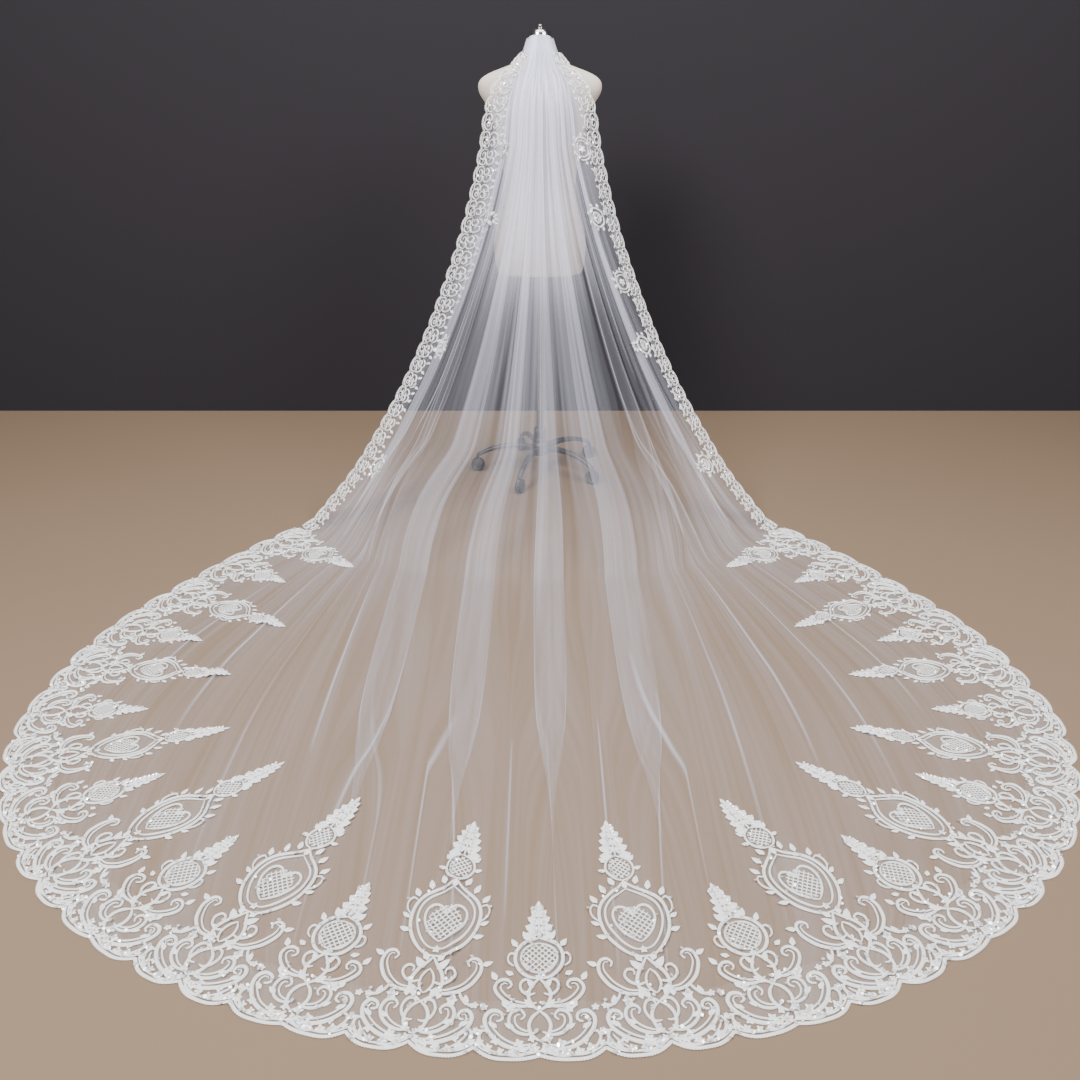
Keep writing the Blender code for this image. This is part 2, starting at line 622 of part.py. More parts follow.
def fallLace(name, side, material):
    """Border up one hanging side: laid on the margin's own points, moved out, with openings."""
    columns = [0, 1, 2] if side < 0.0 else [-1, -2, -3]
    grid = []
    for row in range(FALL_LACE_FROM, TOUCH_ROW):
        for half_row in (0.0, 0.5):
            line = []
            for column in columns:
                upper, lower = net_outer[row][column], net_outer[row + 1][column]
                line.append(upper.lerp(lower, half_row))
            outward = (line[0] - line[1]).normalized()
            reach = FALL_SCALLOP if half_row else SEAM
            edge = line[0] + outward * reach
            inside = line[1].lerp(line[2], FALL_LACE_INSIDE[1 if half_row else 0])
            grid.append([edge, line[0].lerp(line[1], FALL_LACE_MIDDLE), line[1], inside])
    if side > 0.0:
        grid = [line[::-1] for line in grid]
    low = movedOut(grid, SEAM * FALL_LACE_LIFT)
    high = movedOut(grid, SEAM * FALL_LACE_LIFT + LACE_WALL)
    openings = [(i, 1) for i in range(FIRST_OPENING, len(grid) - 2, 2)]
    addPiece(name, wallMesh(low, high, openings), material)


fallLace("lace_fall_left", -1.0, lace_material)
fallLace("lace_fall_right", 1.0, lace_material)

def ringsMesh(rings):
    """A closed body through rings of points, with a flat cap at each end."""
    mesh = bmesh.new()
    lines = [[mesh.verts.new(point) for point in ring] for ring in rings]
    for lower, upper in zip(lines, lines[1:]):
        for near, far in zip(range(len(lower)), list(range(1, len(lower))) + [0]):
            mesh.faces.new((lower[near], lower[far], upper[far], upper[near]))
    mesh.faces.new(list(reversed(lines[0])))
    mesh.faces.new(lines[-1])
    return mesh


def turnedMesh(profile, sides):
    """A round body about the form's axis."""
    rings = []
    for row in profile:
        ring = []
        for side in range(sides):
            angle = math.tau * side / sides
            ring.append(Vector((row["radius"] * math.cos(angle),
                                STAND_Y + row["radius"] * math.sin(angle), row["z"])))
        rings.append(ring)
    return ringsMesh(rings)


def torsoPoint(row, angle):
    """Point of the form at a section, with the angle counted from +X."""
    depth = row["front"] if math.sin(angle) > 0.0 else row["back"]
    return Vector((row["half"] * math.cos(angle), STAND_Y + depth * math.sin(angle), row["z"]))


rings = [[torsoPoint(row, math.tau * side / TORSO_SIDES) for side in range(TORSO_SIDES)]
         for row in TORSO]
addPiece("torso", ringsMesh(rings), pieceMaterial("form_cover"))

steel = pieceMaterial("cap_steel")
addPiece("neck_cap", turnedMesh(NECK_CAP, CAP_SIDES), steel)
pole = ({"z": POLE_BOTTOM, "radius": POLE_RADIUS},
        {"z": TORSO[0]["z"] - SEAM, "radius": POLE_RADIUS})
addPiece("pole", turnedMesh(pole, CAP_SIDES), pieceMaterial("pole_steel"))
addPiece("pole_sleeve", turnedMesh(SLEEVE, SLEEVE_SIDES), pieceMaterial("sleeve"))
addPiece("base_hub", turnedMesh(HUB, HUB_SIDES), pieceMaterial("hub"))

leg_material = pieceMaterial("legs")
wheel_material = pieceMaterial("casters")
for number in range(LEG_COUNT):
    angle = LEG_FIRST + math.tau * number / LEG_COUNT
    out_way = Vector((math.cos(angle), math.sin(angle), 0.0))
    side_way = Vector((-out_way.y, out_way.x, 0.0))
    centre = Vector((0.0, STAND_Y, 0.0))
    rings = []
    for row in LEG:
        ring = []
        for side in range(LEG_SIDES):
            turn = math.tau * side / LEG_SIDES
            ring.append(centre + out_way * row["out"] + side_way * row["wide"] * math.cos(turn)
                        + Vector((0.0, 0.0, row["z"] + row["high"] * math.sin(turn))))
        rings.append(ring)
    addPiece(f"leg_{number + 1}", ringsMesh(rings), leg_material)
    wheel = bmesh.new()
    bmesh.ops.create_cone(wheel, cap_ends=True, segments=CAP_SIDES, radius1=WHEEL_RADIUS,
                          radius2=WHEEL_RADIUS, depth=WHEEL_HALF * 2.0)
    upright = side_way.to_track_quat("Z", "Y").to_matrix()
    bmesh.ops.rotate(wheel, verts=wheel.verts, matrix=upright)
    lowest = min(vertex.co.z for vertex in wheel.verts)
    bmesh.ops.translate(wheel, verts=wheel.verts, vec=centre + out_way * WHEEL_OUT
                        - Vector((0.0, 0.0, lowest)))
    addPiece(f"caster_{number + 1}", wheel, wheel_material)


def neckHalf(z):
    """Section of the form's neck at a height."""
    for lower, upper in zip(TORSO, TORSO[1:]):
        if lower["z"] <= z <= upper["z"]:
            share = (z - lower["z"]) / (upper["z"] - lower["z"])
            return {key: lower[key] + (upper[key] - lower[key]) * share for key in lower}
    return dict(TORSO[-1])


band_low, band_high = [], []
for z in reversed(BAND_Z):
    section = neckHalf(z)
    for line, gap in ((band_low, BAND_GAP), (band_high, BAND_GAP + BAND_WALL)):
        ring = []
        for step in range(BAND_STEPS + 1):
            turn = -math.pi / 2.0 - BAND_SPAN + 2.0 * BAND_SPAN * step / BAND_STEPS
            wider = {"z": z, "half": section["half"] + gap, "back": section["back"] + gap,
                     "front": section["front"] + gap}
            ring.append(torsoPoint(wider, turn))
        line.append(ring)
addPiece("gather_band", wallMesh(band_low, band_high), pieceMaterial("band"))
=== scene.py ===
# Bridal veil of soft net with a corded lace border, worn on a dress form with a castered stand.
# Metres, +Z up. The form's back faces -Y and the train runs out towards -Y, to the camera.

import math

import bpy
import numpy as np
from mathutils import Matrix, Vector
from mathutils.bvhtree import BVHTree


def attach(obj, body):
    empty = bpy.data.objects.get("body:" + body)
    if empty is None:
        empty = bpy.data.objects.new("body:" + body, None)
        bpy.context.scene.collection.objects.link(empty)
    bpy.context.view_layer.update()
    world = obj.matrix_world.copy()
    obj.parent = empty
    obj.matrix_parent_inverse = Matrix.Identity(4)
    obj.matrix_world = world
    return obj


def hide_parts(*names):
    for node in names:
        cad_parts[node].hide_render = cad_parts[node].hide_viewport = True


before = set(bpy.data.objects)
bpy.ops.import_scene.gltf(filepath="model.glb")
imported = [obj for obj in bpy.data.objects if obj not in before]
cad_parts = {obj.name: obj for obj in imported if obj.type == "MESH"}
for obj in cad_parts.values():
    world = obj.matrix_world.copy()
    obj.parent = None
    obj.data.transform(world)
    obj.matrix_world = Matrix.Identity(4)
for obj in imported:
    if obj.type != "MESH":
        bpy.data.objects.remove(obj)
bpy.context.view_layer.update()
standY = 1.1886           # the form's axis
print("frame loaded")


# materials and the node groups that they share

def newMaterial(name):
    material = bpy.data.materials.new(name)
    material.use_nodes = True
    tree = material.node_tree
    return material, tree, tree.nodes["Principled BSDF"]


def addNode(tree, kind, place, **settings):
    node = tree.nodes.new(kind)
    node.location = (place[0] * 200, place[1] * -160)
    for key, value in settings.items():
        setattr(node, key, value)
    return node


def wire(tree, start, end):
    tree.links.new(start, end)


def mathNode(tree, operation, place, first, second=None, third=None, clamp=False):
    node = addNode(tree, "ShaderNodeMath", place, operation=operation, use_clamp=clamp)
    for number, value in enumerate((first, second, third)):
        if value is None:
            continue
        if isinstance(value, (int, float)):
            node.inputs[number].default_value = value
        else:
            wire(tree, value, node.inputs[number])
    return node.outputs[0]


def colourMix(tree, place, factor, first, second):
    node = addNode(tree, "ShaderNodeMix", place, data_type="RGBA")
    for socket, value in ((node.inputs[0], factor), (node.inputs[6], first), (node.inputs[7], second)):
        if isinstance(value, tuple):
            socket.default_value = (*value, 1.0)
        elif isinstance(value, (int, float)):
            socket.default_value = value
        else:
            wire(tree, value, socket)
    return node.outputs[2]


def bumpNode(tree, place, height, strength, distance):
    node = addNode(tree, "ShaderNodeBump", place)
    node.inputs["Strength"].default_value = strength
    node.inputs["Distance"].default_value = distance
    wire(tree, height, node.inputs["Height"])
    return node.outputs[0]


def noiseNode(tree, place, vector, scale, detail=3.0, rough=0.5):
    node = addNode(tree, "ShaderNodeTexNoise", place)
    node.inputs["Scale"].default_value = scale
    node.inputs["Detail"].default_value = detail
    node.inputs["Roughness"].default_value = rough
    wire(tree, vector, node.inputs["Vector"])
    return node.outputs[0]


def scaledVector(tree, place, vector, scale):
    node = addNode(tree, "ShaderNodeMapping", place)
    node.inputs["Scale"].default_value = scale
    wire(tree, vector, node.inputs["Vector"])
    return node.outputs[0]


def newGroup(name, ins, outs):
    group = bpy.data.node_groups.new(name, "ShaderNodeTree")
    for label, kind in ins:
        group.interface.new_socket(name=label, in_out="INPUT", socket_type="NodeSocket" + kind)
    for label, kind in outs:
        group.interface.new_socket(name=label, in_out="OUTPUT", socket_type="NodeSocket" + kind)
    start = addNode(group, "NodeGroupInput", (-6, 0))
    end = addNode(group, "NodeGroupOutput", (6, 0))
    return group, start, end


def useGroup(tree, group, place, **values):
    node = addNode(tree, "ShaderNodeGroup", place, node_tree=group)
    for label, value in values.items():
        socket = node.inputs[label]
        if isinstance(value, (int, float)):
            socket.default_value = value
        else:
            wire(tree, value, socket)
    return node


def makeMeshGroup():
    # fine six-sided holes of bobbin net: thread mask and how high the threads stand
    group, start, end = newGroup("netMesh", (("Vector", "Vector"), ("HolesPerMetre", "Float")),
                                 (("Threads", "Float"), ("Height", "Float")))
    cells = addNode(group, "ShaderNodeTexVoronoi", (-4, 0), feature="DISTANCE_TO_EDGE",
                    voronoi_dimensions="2D")
    cells.inputs["Randomness"].default_value = 0.35
    wire(group, start.outputs["Vector"], cells.inputs["Vector"])
    wire(group, start.outputs["HolesPerMetre"], cells.inputs["Scale"])
    ramp = addNode(group, "ShaderNodeMapRange", (-2, 0), interpolation_type="SMOOTHSTEP")
    ramp.inputs["From Min"].default_value = 0.05
    ramp.inputs["From Max"].default_value = 0.24
    ramp.inputs["To Min"].default_value = 1.0
    ramp.inputs["To Max"].default_value = 0.0
    wire(group, cells.outputs["Distance"], ramp.inputs["Value"])
    wire(group, ramp.outputs["Result"], end.inputs["Threads"])
    wire(group, ramp.outputs["Result"], end.inputs["Height"])
    return group


def makeTwistGroup():
    # slanting turns of a twisted cord or of satin stitches, along a ribbon's own length; Shade is painted shade,
    # darker in the grooves between the turns
    group, start, end = newGroup("stitchTwist",
                                 (("Vector", "Vector"), ("TurnsPerMetre", "Float"), ("Slant", "Float")),
                                 (("Height", "Float"), ("Shade", "Float")))
    parts = addNode(group, "ShaderNodeSeparateXYZ", (-5, 0))
    wire(group, start.outputs["Vector"], parts.inputs[0])
    across = mathNode(group, "MULTIPLY", (-4, 1), parts.outputs[1], start.outputs["Slant"])
    along = mathNode(group, "ADD", (-3, 0), parts.outputs[0], across)
    turns = mathNode(group, "MULTIPLY", (-2, 0), along, start.outputs["TurnsPerMetre"])
    wave = mathNode(group, "SINE", (-1, 0), mathNode(group, "MULTIPLY", (-1, 1), turns, math.tau))
    half = mathNode(group, "MULTIPLY_ADD", (0, 0), wave, 0.5, 0.5)
    wire(group, half, end.inputs["Height"])
    wire(group, mathNode(group, "MULTIPLY_ADD", (1, 1), half, 0.45, 0.55), end.inputs["Shade"])
    return group


def makeWearGroup():
    # handling wear and dust of painted and plated stand parts
    group, start, end = newGroup("handlingWear", (("Vector", "Vector"), ("Amount", "Float")),
                                 (("Dust", "Float"), ("Scuffs", "Float"), ("Height", "Float")))
    cloudy = noiseNode(group, (-4, 0), start.outputs["Vector"], 22.0, 5.0, 0.6)
    dust = addNode(group, "ShaderNodeMapRange", (-2, 0), interpolation_type="SMOOTHSTEP")
    dust.inputs["From Min"].default_value = 0.42
    dust.inputs["From Max"].default_value = 0.72
    wire(group, cloudy, dust.inputs["Value"])
    fine = noiseNode(group, (-4, 2), start.outputs["Vector"], 260.0, 4.0, 0.7)
    scuffs = addNode(group, "ShaderNodeMapRange", (-2, 2))
    scuffs.inputs["From Min"].default_value = 0.60
    scuffs.inputs["From Max"].default_value = 0.74
    wire(group, fine, scuffs.inputs["Value"])
    wire(group, mathNode(group, "MULTIPLY", (0, 0), dust.outputs[0], start.outputs["Amount"]),
         end.inputs["Dust"])
    wire(group, mathNode(group, "MULTIPLY", (0, 2), scuffs.outputs[0], start.outputs["Amount"]),
         end.inputs["Scuffs"])
    wire(group, fine, end.inputs["Height"])
    return group


netMesh = makeMeshGroup()
stitchTwist = makeTwistGroup()
handlingWear = makeWearGroup()

netLook = {
    "colour": (0.81, 0.81, 0.95),
    "onceCovered": 0.120,     # how much one layer of the net covers
    "streaks": 0.68,          # how uneven its gathers are
    "holesPerMetre": 620.0,
    "roughness": 0.55,
}


def makeNetMaterial(name, look, usesLayers):
    material, tree, shader = newMaterial(name)
    uv = addNode(tree, "ShaderNodeUVMap", (-9, 0)).outputs[0]
    threads = useGroup(tree, netMesh, (-6, 0), Vector=uv, HolesPerMetre=look["holesPerMetre"])
    if usesLayers:
        layers = addNode(tree, "ShaderNodeAttribute", (-9, 2), attribute_name="layers").outputs["Fac"]
        fine = noiseNode(tree, (-6, 3), scaledVector(tree, (-8, 3), uv, (95.0, 1.1, 1.0)), 1.0, 2.0)
        wide = noiseNode(tree, (-6, 5), scaledVector(tree, (-8, 5), uv, (21.0, 0.7, 1.0)), 1.0, 2.0)
        streak = mathNode(tree, "ADD", (-5, 4), fine, wide)
        uneven = mathNode(tree, "MULTIPLY_ADD", (-4, 4), mathNode(tree, "SUBTRACT", (-4, 5), streak, 1.0),
                          look["streaks"] * 4.0, 1.0)
        depth = mathNode(tree, "MULTIPLY", (-3, 3), layers, mathNode(tree, "MAXIMUM", (-3, 4), uneven, 0.35))
    else:
        depth = 1.0
    meshy = mathNode(tree, "MULTIPLY_ADD", (-4, 0), threads.outputs["Threads"], 0.5, 0.78)
    clear = mathNode(tree, "POWER", (-2, 2), 1.0 - look["onceCovered"],
                     mathNode(tree, "MULTIPLY", (-3, 1), depth, meshy))
    wire(tree, mathNode(tree, "SUBTRACT", (-1, 2), 1.0, clear, clamp=True), shader.inputs["Alpha"])
    tint = noiseNode(tree, (-4, -2), uv, 3.0)
    dull = tuple(part * 0.94 for part in look["colour"])
    wire(tree, colourMix(tree, (-2, -2), tint, look["colour"], dull), shader.inputs["Base Color"])
    wire(tree, bumpNode(tree, (-2, 0), threads.outputs["Height"], 0.25, 0.0002), shader.inputs["Normal"])
    shader.inputs["Roughness"].default_value = look["roughness"]
    shader.inputs["Sheen Weight"].default_value = 0.25
    shader.inputs["Sheen Roughness"].default_value = 0.4
    return material


laceLook = {
    "colour": (0.98, 0.975, 0.97),
    # painted shade colour for the grooves between the cord's turns
    "shadow": (0.78, 0.75, 0.72),
    "turnsPerMetre": 620.0,
    "slant": 0.9,
    "roughness": 0.52,
}


def makeCordMaterial(name, look, turns, slant, relief):
    material, tree, shader = newMaterial(name)
    uv = addNode(tree, "ShaderNodeUVMap", (-8, 0)).outputs[0]
    place = addNode(tree, "ShaderNodeTexCoord", (-8, 3)).outputs["Object"]
    twist = useGroup(tree, stitchTwist, (-6, 0), Vector=uv, TurnsPerMetre=turns, Slant=slant)
    fluff = noiseNode(tree, (-6, 3), place, 900.0, 2.0, 0.6)
    patch = noiseNode(tree, (-6, 5), place, 14.0, 2.0)
    # painted shade: the colour falls towards the shadow colour in the grooves between the turns, with a random patchy
    # tone on top
    light = mathNode(tree, "MULTIPLY", (-4, 1), twist.outputs["Shade"],
                     mathNode(tree, "MULTIPLY_ADD", (-4, 3), patch, 0.5, 0.72), clamp=True)
    wire(tree, colourMix(tree, (-2, 0), light, look["shadow"], look["colour"]), shader.inputs["Base Color"])
    height = mathNode(tree, "MULTIPLY_ADD", (-4, 4), fluff, 0.35, twist.outputs["Height"])
    wire(tree, bumpNode(tree, (-2, 2), height, relief, 0.0006), shader.inputs["Normal"])
    shader.inputs["Roughness"].default_value = look["roughness"]
    shader.inputs["Sheen Weight"].default_value = 0.2
    return material


sequinLook = {"colour": (0.98, 0.98, 1.0), "tint": (0.90, 0.88, 0.96), "roughness": 0.14}


def makeSequinMaterial(name, look):
    material, tree, shader = newMaterial(name)
    place = addNode(tree, "ShaderNodeTexCoord", (-6, 0)).outputs["Object"]
    # painted sheen: patches of the lavender tint stand in for the pearly sequins' iridescence, laid at random
    paintedSheenPatches = noiseNode(tree, (-4, 0), place, 160.0, 1.0)
    wire(tree, colourMix(tree, (-2, 0), paintedSheenPatches, look["colour"], look["tint"]), shader.inputs["Base Color"])
    fine = noiseNode(tree, (-4, 2), place, 1400.0, 2.0)
    wire(tree, mathNode(tree, "MULTIPLY_ADD", (-2, 2), fine, 0.16, look["roughness"] - 0.06),
         shader.inputs["Roughness"])
    shader.inputs["Metallic"].default_value = 0.35
    shader.inputs["Coat Weight"].default_value = 0.8
    shader.inputs["Coat Roughness"].default_value = 0.08
    return material


netCloth = makeNetMaterial("netCloth", netLook, True)
laceGround = makeNetMaterial("laceGround", {**netLook, "colour": (0.87, 0.855, 0.85), "onceCovered": 0.04,
                                            "holesPerMetre": 480.0}, False)
laceFill = makeNetMaterial("laceFill", {**netLook, "colour": (0.90, 0.89, 0.89), "onceCovered": 0.05,
                                        "holesPerMetre": 420.0}, False)
laceCord = makeCordMaterial("laceCord", laceLook, laceLook["turnsPerMetre"], laceLook["slant"], 0.5)
laceSatin = makeCordMaterial("laceSatin", {**laceLook, "roughness": 0.42}, 900.0, 0.35, 0.35)
sequinPearl = makeSequinMaterial("sequinPearl", sequinLook)
print("cloth materials made")


# The net: one sheet, gathered at the neck, hanging in folds and spread on the floor

netSheet = {
    "cut": (3.05, 3.50),
    "margin": 0.080,          # plain strip beside each hanging edge
    "marginShare": 0.45,
    "inset": 0.030,           # the net stops this far inside the scallops on the floor
    "turn": 0.88,             # how far each fold doubles back, as a share of its half width
    "hangingLayer": 0.0080,
    "floorLayer": 0.0040,
    "bow": math.radians(72.0),
    "corner": math.radians(62.0),
    "touchRow": 16,
    "settleRows": 4,
    "rowLength": 0.0153,
    "headCover": (0.4, 0.4, 2.6, 2.2, 2.2, 2.2, 2.2, 2.6, 0.4, 0.4),   # closer gathers over the form
    "creaseLine": 0.0045,
    "edgeLayers": 3.2,        # how much closer the net looks along a fold's edge
    "creaseLayers": 2.6,      # and along a crease
    "clearerOnFloor": 0.50,   # how much less the spread net hides than the gathered one
    "clearerBelow": 0.26,     # the same for the net that hangs below the form
}
trainOutline = {
    "out": (0.50, 0.64, 0.92, 1.17, 1.40, 1.59),
    "half": (0.80, 0.905, 1.07, 1.19, 1.248, 1.262),
    "endMiddle": 1.590,
    "endHalf": 1.262,
    "endReach": 1.036,
}
# the hanging rows: edge half width, out, height, then middle out, height
hangingRows = (
    (0.043, 0.008, 1.490, 0.050, 1.504), (0.056, 0.046, 1.456, 0.088, 1.464),
    (0.086, 0.078, 1.412, 0.110, 1.414), (0.117, 0.089, 1.382, 0.121, 1.384),
    (0.139, 0.096, 1.348, 0.133, 1.348), (0.162, 0.106, 1.276, 0.154, 1.276),
    (0.178, 0.118, 1.176, 0.176, 1.176), (0.208, 0.136, 1.048, 0.204, 1.048),
    (0.250, 0.162, 0.904, 0.246, 0.904), (0.304, 0.196, 0.756, 0.302, 0.756),
    (0.366, 0.236, 0.608, 0.374, 0.608), (0.436, 0.284, 0.464, 0.464, 0.460),
    (0.516, 0.340, 0.324, 0.576, 0.312), (0.562, 0.371, 0.252, 0.642, 0.236),
    (0.616, 0.405, 0.173, 0.726, 0.155), (0.698, 0.452, 0.078, 0.848, 0.056),
)
# the rows on the floor: edge out, middle out
floorRows = (
    (0.53, 0.96), (0.66, 1.11), (0.81, 1.27), (0.97, 1.43), (1.11, 1.56), (1.21, 1.66), (1.29, 1.74),
    (1.37, 1.82), (1.45, 1.90), (1.59, 2.04), (1.76, 2.23), (1.92, 2.42),
)
# each fold: start where it hangs, start on the floor, runs on along the train, flat width, how full
netFolds = (
    {"hangs": -1.00, "lies": None, "runsOn": False, "flat": 0.375, "full": 0.60},
    {"hangs": -0.80, "lies": None, "runsOn": False, "flat": 0.375, "full": 0.16},
    {"hangs": -0.58, "lies": -0.400, "runsOn": True, "flat": 0.330, "full": 0.84},
    {"hangs": -0.27, "lies": -0.222, "runsOn": True, "flat": 0.310, "full": 0.92},
    {"hangs": -0.06, "lies": -0.058, "runsOn": True, "flat": 0.290, "full": 0.82},
    {"hangs": 0.15, "lies": 0.098, "runsOn": True, "flat": 0.350, "full": 0.86},
    {"hangs": 0.46, "lies": 0.286, "runsOn": False, "flat": 0.430, "full": 0.18},
    {"hangs": 0.76, "lies": None, "runsOn": False, "flat": 0.430, "full": 0.80},
)
foldShape = {
    "turn": (-1.0, -0.5, -0.25, 0.0, 0.25, 0.5, 0.72, 0.87, 1.0),
    "level": (0.0, 0.35, 0.78, 1.0, 1.22, 1.5, 1.75, 0.95, 0.0),
}
# how each fold stands, row by row: share of its width that is folded, how far it turns over, height
standing = (1.0, 1.0, 1.0)
headStates = ((1.0, 0.0, 0.0), (1.0, 0.0, 0.0), (1.0, 0.10, 0.15), (1.0, 0.26, 0.40), (1.0, 0.52, 0.75))
endingStates = ((0.90, 1.0, 0.9), (0.78, 0.86, 0.8), (0.66, 0.66, 0.7), (0.54, 0.42, 0.5), (0.50, 0.0, 0.0))
trainStates = (
    (1.0, 1.0, 1.0), (1.0, 1.0, 1.0), (0.97, 1.0, 1.0), (0.93, 1.0, 1.0), (0.88, 1.0, 1.0),
    (0.82, 1.0, 1.0), (0.76, 0.95, 0.95), (0.70, 0.86, 0.9), (0.62, 0.70, 0.8), (0.54, 0.50, 0.6),
    (0.46, 0.30, 0.4), (0.40, 0.10, 0.2), (0.40, 0.0, 0.0),
)
# creases, given one by one: place across the flat cut, first and last row, height, width
netCreases = (
    (-1.395, 4.5, 12.0, 0.0050, 0.012),
    (-1.300, 6.0, 17.5, 0.0040, 0.010),
    (-1.055, 5.5, 15.0, 0.0060, 0.010),
    (-0.985, 7.0, 13.5, 0.0040, 0.008),
    (-0.900, 6.0, 16.0, 0.0070, 0.012),
    (-0.835, 8.5, 18.0, 0.0050, 0.009),
    (-0.775, 7.5, 12.5, 0.0040, 0.008),
    (0.690, 7.0, 14.0, 0.0050, 0.009),
    (0.765, 5.5, 16.5, 0.0065, 0.012),
    (0.845, 8.0, 13.0, 0.0040, 0.008),
    (0.905, 6.5, 17.0, 0.0060, 0.010),
    (1.010, 6.0, 11.0, 0.0040, 0.009),
    (1.205, 5.0, 15.5, 0.0055, 0.011),
    (1.345, 7.0, 13.0, 0.0040, 0.010),
    (-1.20, 17.0, 22.0, 0.0060, 0.020),
    (-1.02, 15.5, 24.0, 0.0090, 0.026),
    (-0.86, 16.5, 26.5, 0.0060, 0.018),
    (-0.71, 15.0, 23.5, 0.0080, 0.024),
    (-0.60, 18.5, 27.3, 0.0050, 0.016),
    (-0.44, 19.0, 27.6, 0.0060, 0.020),
    (-0.31, 21.0, 27.0, 0.0045, 0.015),
    (-0.17, 21.5, 27.8, 0.0055, 0.018),
    (-0.04, 22.0, 26.5, 0.0040, 0.015),
    (0.10, 21.5, 27.7, 0.0055, 0.019),
    (0.25, 21.0, 27.2, 0.0045, 0.016),
    (0.37, 20.0, 27.6, 0.0060, 0.020),
    (0.52, 18.5, 26.4, 0.0050, 0.017),
    (0.66, 16.0, 27.4, 0.0070, 0.022),
    (0.80, 15.0, 24.5, 0.0090, 0.026),
    (0.94, 16.5, 26.0, 0.0060, 0.020),
    (1.10, 15.5, 23.0, 0.0080, 0.024),
    (1.27, 17.0, 21.5, 0.0060, 0.020),
)


def easedCurve(places, knots, values):
    # smooth curve through the values that never overshoots them
    knots = np.asarray(knots, float)
    values = np.asarray(values, float)
    steps = np.diff(knots)
    rises = np.diff(values) / steps
    slopes = np.zeros(len(knots))
    before, after = rises[:-1], rises[1:]
    same = before * after > 0.0
    slopes[1:-1][same] = 2.0 * before[same] * after[same] / (before[same] + after[same])
    slopes[0], slopes[-1] = rises[0], rises[-1]
    places = np.clip(places, knots[0], knots[-1])
    number = np.clip(np.searchsorted(knots, places, "right") - 1, 0, len(steps) - 1)
    span = steps[number]
    x = (places - knots[number]) / span
    rise = x * x * (3.0 - 2.0 * x)
    bend = slopes[number] * (x - 2.0 * x ** 2 + x ** 3) + slopes[number + 1] * (x ** 3 - x ** 2)
    return values[number] + (values[number + 1] - values[number]) * rise + bend * span


def smoothShare(value, low, high):
    x = np.clip((value - low) / (high - low), 0.0, 1.0)
    return x * x * (3.0 - 2.0 * x)


def outlineHalf(out):
    out = np.asarray(out, float)
    share = np.clip((out - trainOutline["endMiddle"]) / trainOutline["endReach"], 0.0, 1.0)
    side = easedCurve(out, trainOutline["out"], trainOutline["half"])
    return np.where(out >= trainOutline["endMiddle"], trainOutline["endHalf"] * np.sqrt(1.0 - share ** 2), side)


def sheetRows():
    inset, corner = netSheet["inset"], netSheet["corner"]
    rows = [list(row) for row in hangingRows]
    for edgeOut, middleOut in floorRows:
        rows.append([float(outlineHalf(edgeOut)) - inset, edgeOut, 0.0, middleOut, 0.0])
    reach = trainOutline["endReach"] - inset
    rows.append([(trainOutline["endHalf"] - inset) * math.sin(corner),
                 trainOutline["endMiddle"] + reach * math.cos(corner), 0.0,
                 trainOutline["endMiddle"] + reach, 0.0])
    return np.array(rows)


rowTable = sheetRows()
rowNumbers = np.arange(len(rowTable))
lastRow = len(rowTable) - 1


def formRow(row):
    # edge half width, edge out, edge height, middle out, middle height at any place down the sheet
    return [easedCurve(row, rowNumbers, rowTable[:, number]) for number in range(5)]


def basePoints(row, across):
    half, edgeOut, edgeHigh, middleOut, middleHigh = formRow(row)
    bend = netSheet["bow"] + (netSheet["corner"] - netSheet["bow"]) * np.clip(row - lastRow + 1.0, 0.0, 1.0)
    side = np.sin(bend * across) / np.sin(bend)
    bow = (np.cos(bend * across) - np.cos(bend)) / (1.0 - np.cos(bend))
    out = edgeOut + (middleOut - edgeOut) * bow
    return np.stack([half * side, standY - out, edgeHigh + (middleHigh - edgeHigh) * bow], -1)


def liftWays(row, across):
    # outwards where the sheet hangs, straight up on the floor
    along = basePoints(row, across + 0.01) - basePoints(row, across - 0.01)
    down = basePoints(np.minimum(row + 0.2, lastRow), across) - basePoints(np.maximum(row - 0.2, 0.0), across)
    out = np.cross(down, along)
    out /= np.linalg.norm(out, axis=-1, keepdims=True)
    settled = smoothShare(row, netSheet["touchRow"] - 1.2, netSheet["touchRow"] - 0.1)[..., None]
    out = out * (1.0 - settled) + np.array([0.0, 0.0, 1.0]) * settled
    return out / np.linalg.norm(out, axis=-1, keepdims=True)


def foldTable(runsOn):
    touch = netSheet["touchRow"]
    states = [standing] * (lastRow + 1)
    states[:len(headStates)] = headStates
    if runsOn:
        states[touch:touch + len(trainStates)] = trainStates
        states[touch + len(trainStates):] = [trainStates[-1]] * (lastRow + 1 - touch - len(trainStates))
    else:
        first = touch - len(endingStates) + 1
        states[first:touch + 1] = endingStates
        states[touch + 1:] = [endingStates[-1]] * (lastRow - touch)
    return np.array(states)


def foldStarts(row):
    # where each fold starts across the sheet at one row, and where the last one ends
    half = float(formRow(np.array([row]))[0][0])
    margin = 1.0 - min(netSheet["margin"], netSheet["marginShare"] * half) / half
    hanging = np.array([fold["hangs"] * margin for fold in netFolds] + [margin])
    lying = [-margin if fold["lies"] is None else fold["lies"] / half for fold in netFolds] + [margin]
    lying[1] = (lying[0] + lying[2]) / 2.0
    lying[-2] = (lying[-3] + lying[-1]) / 2.0
    touch = netSheet["touchRow"]
    settled = float(smoothShare(row, touch - netSheet["settleRows"], touch))
    return hanging + (np.array(lying) - hanging) * settled, settled


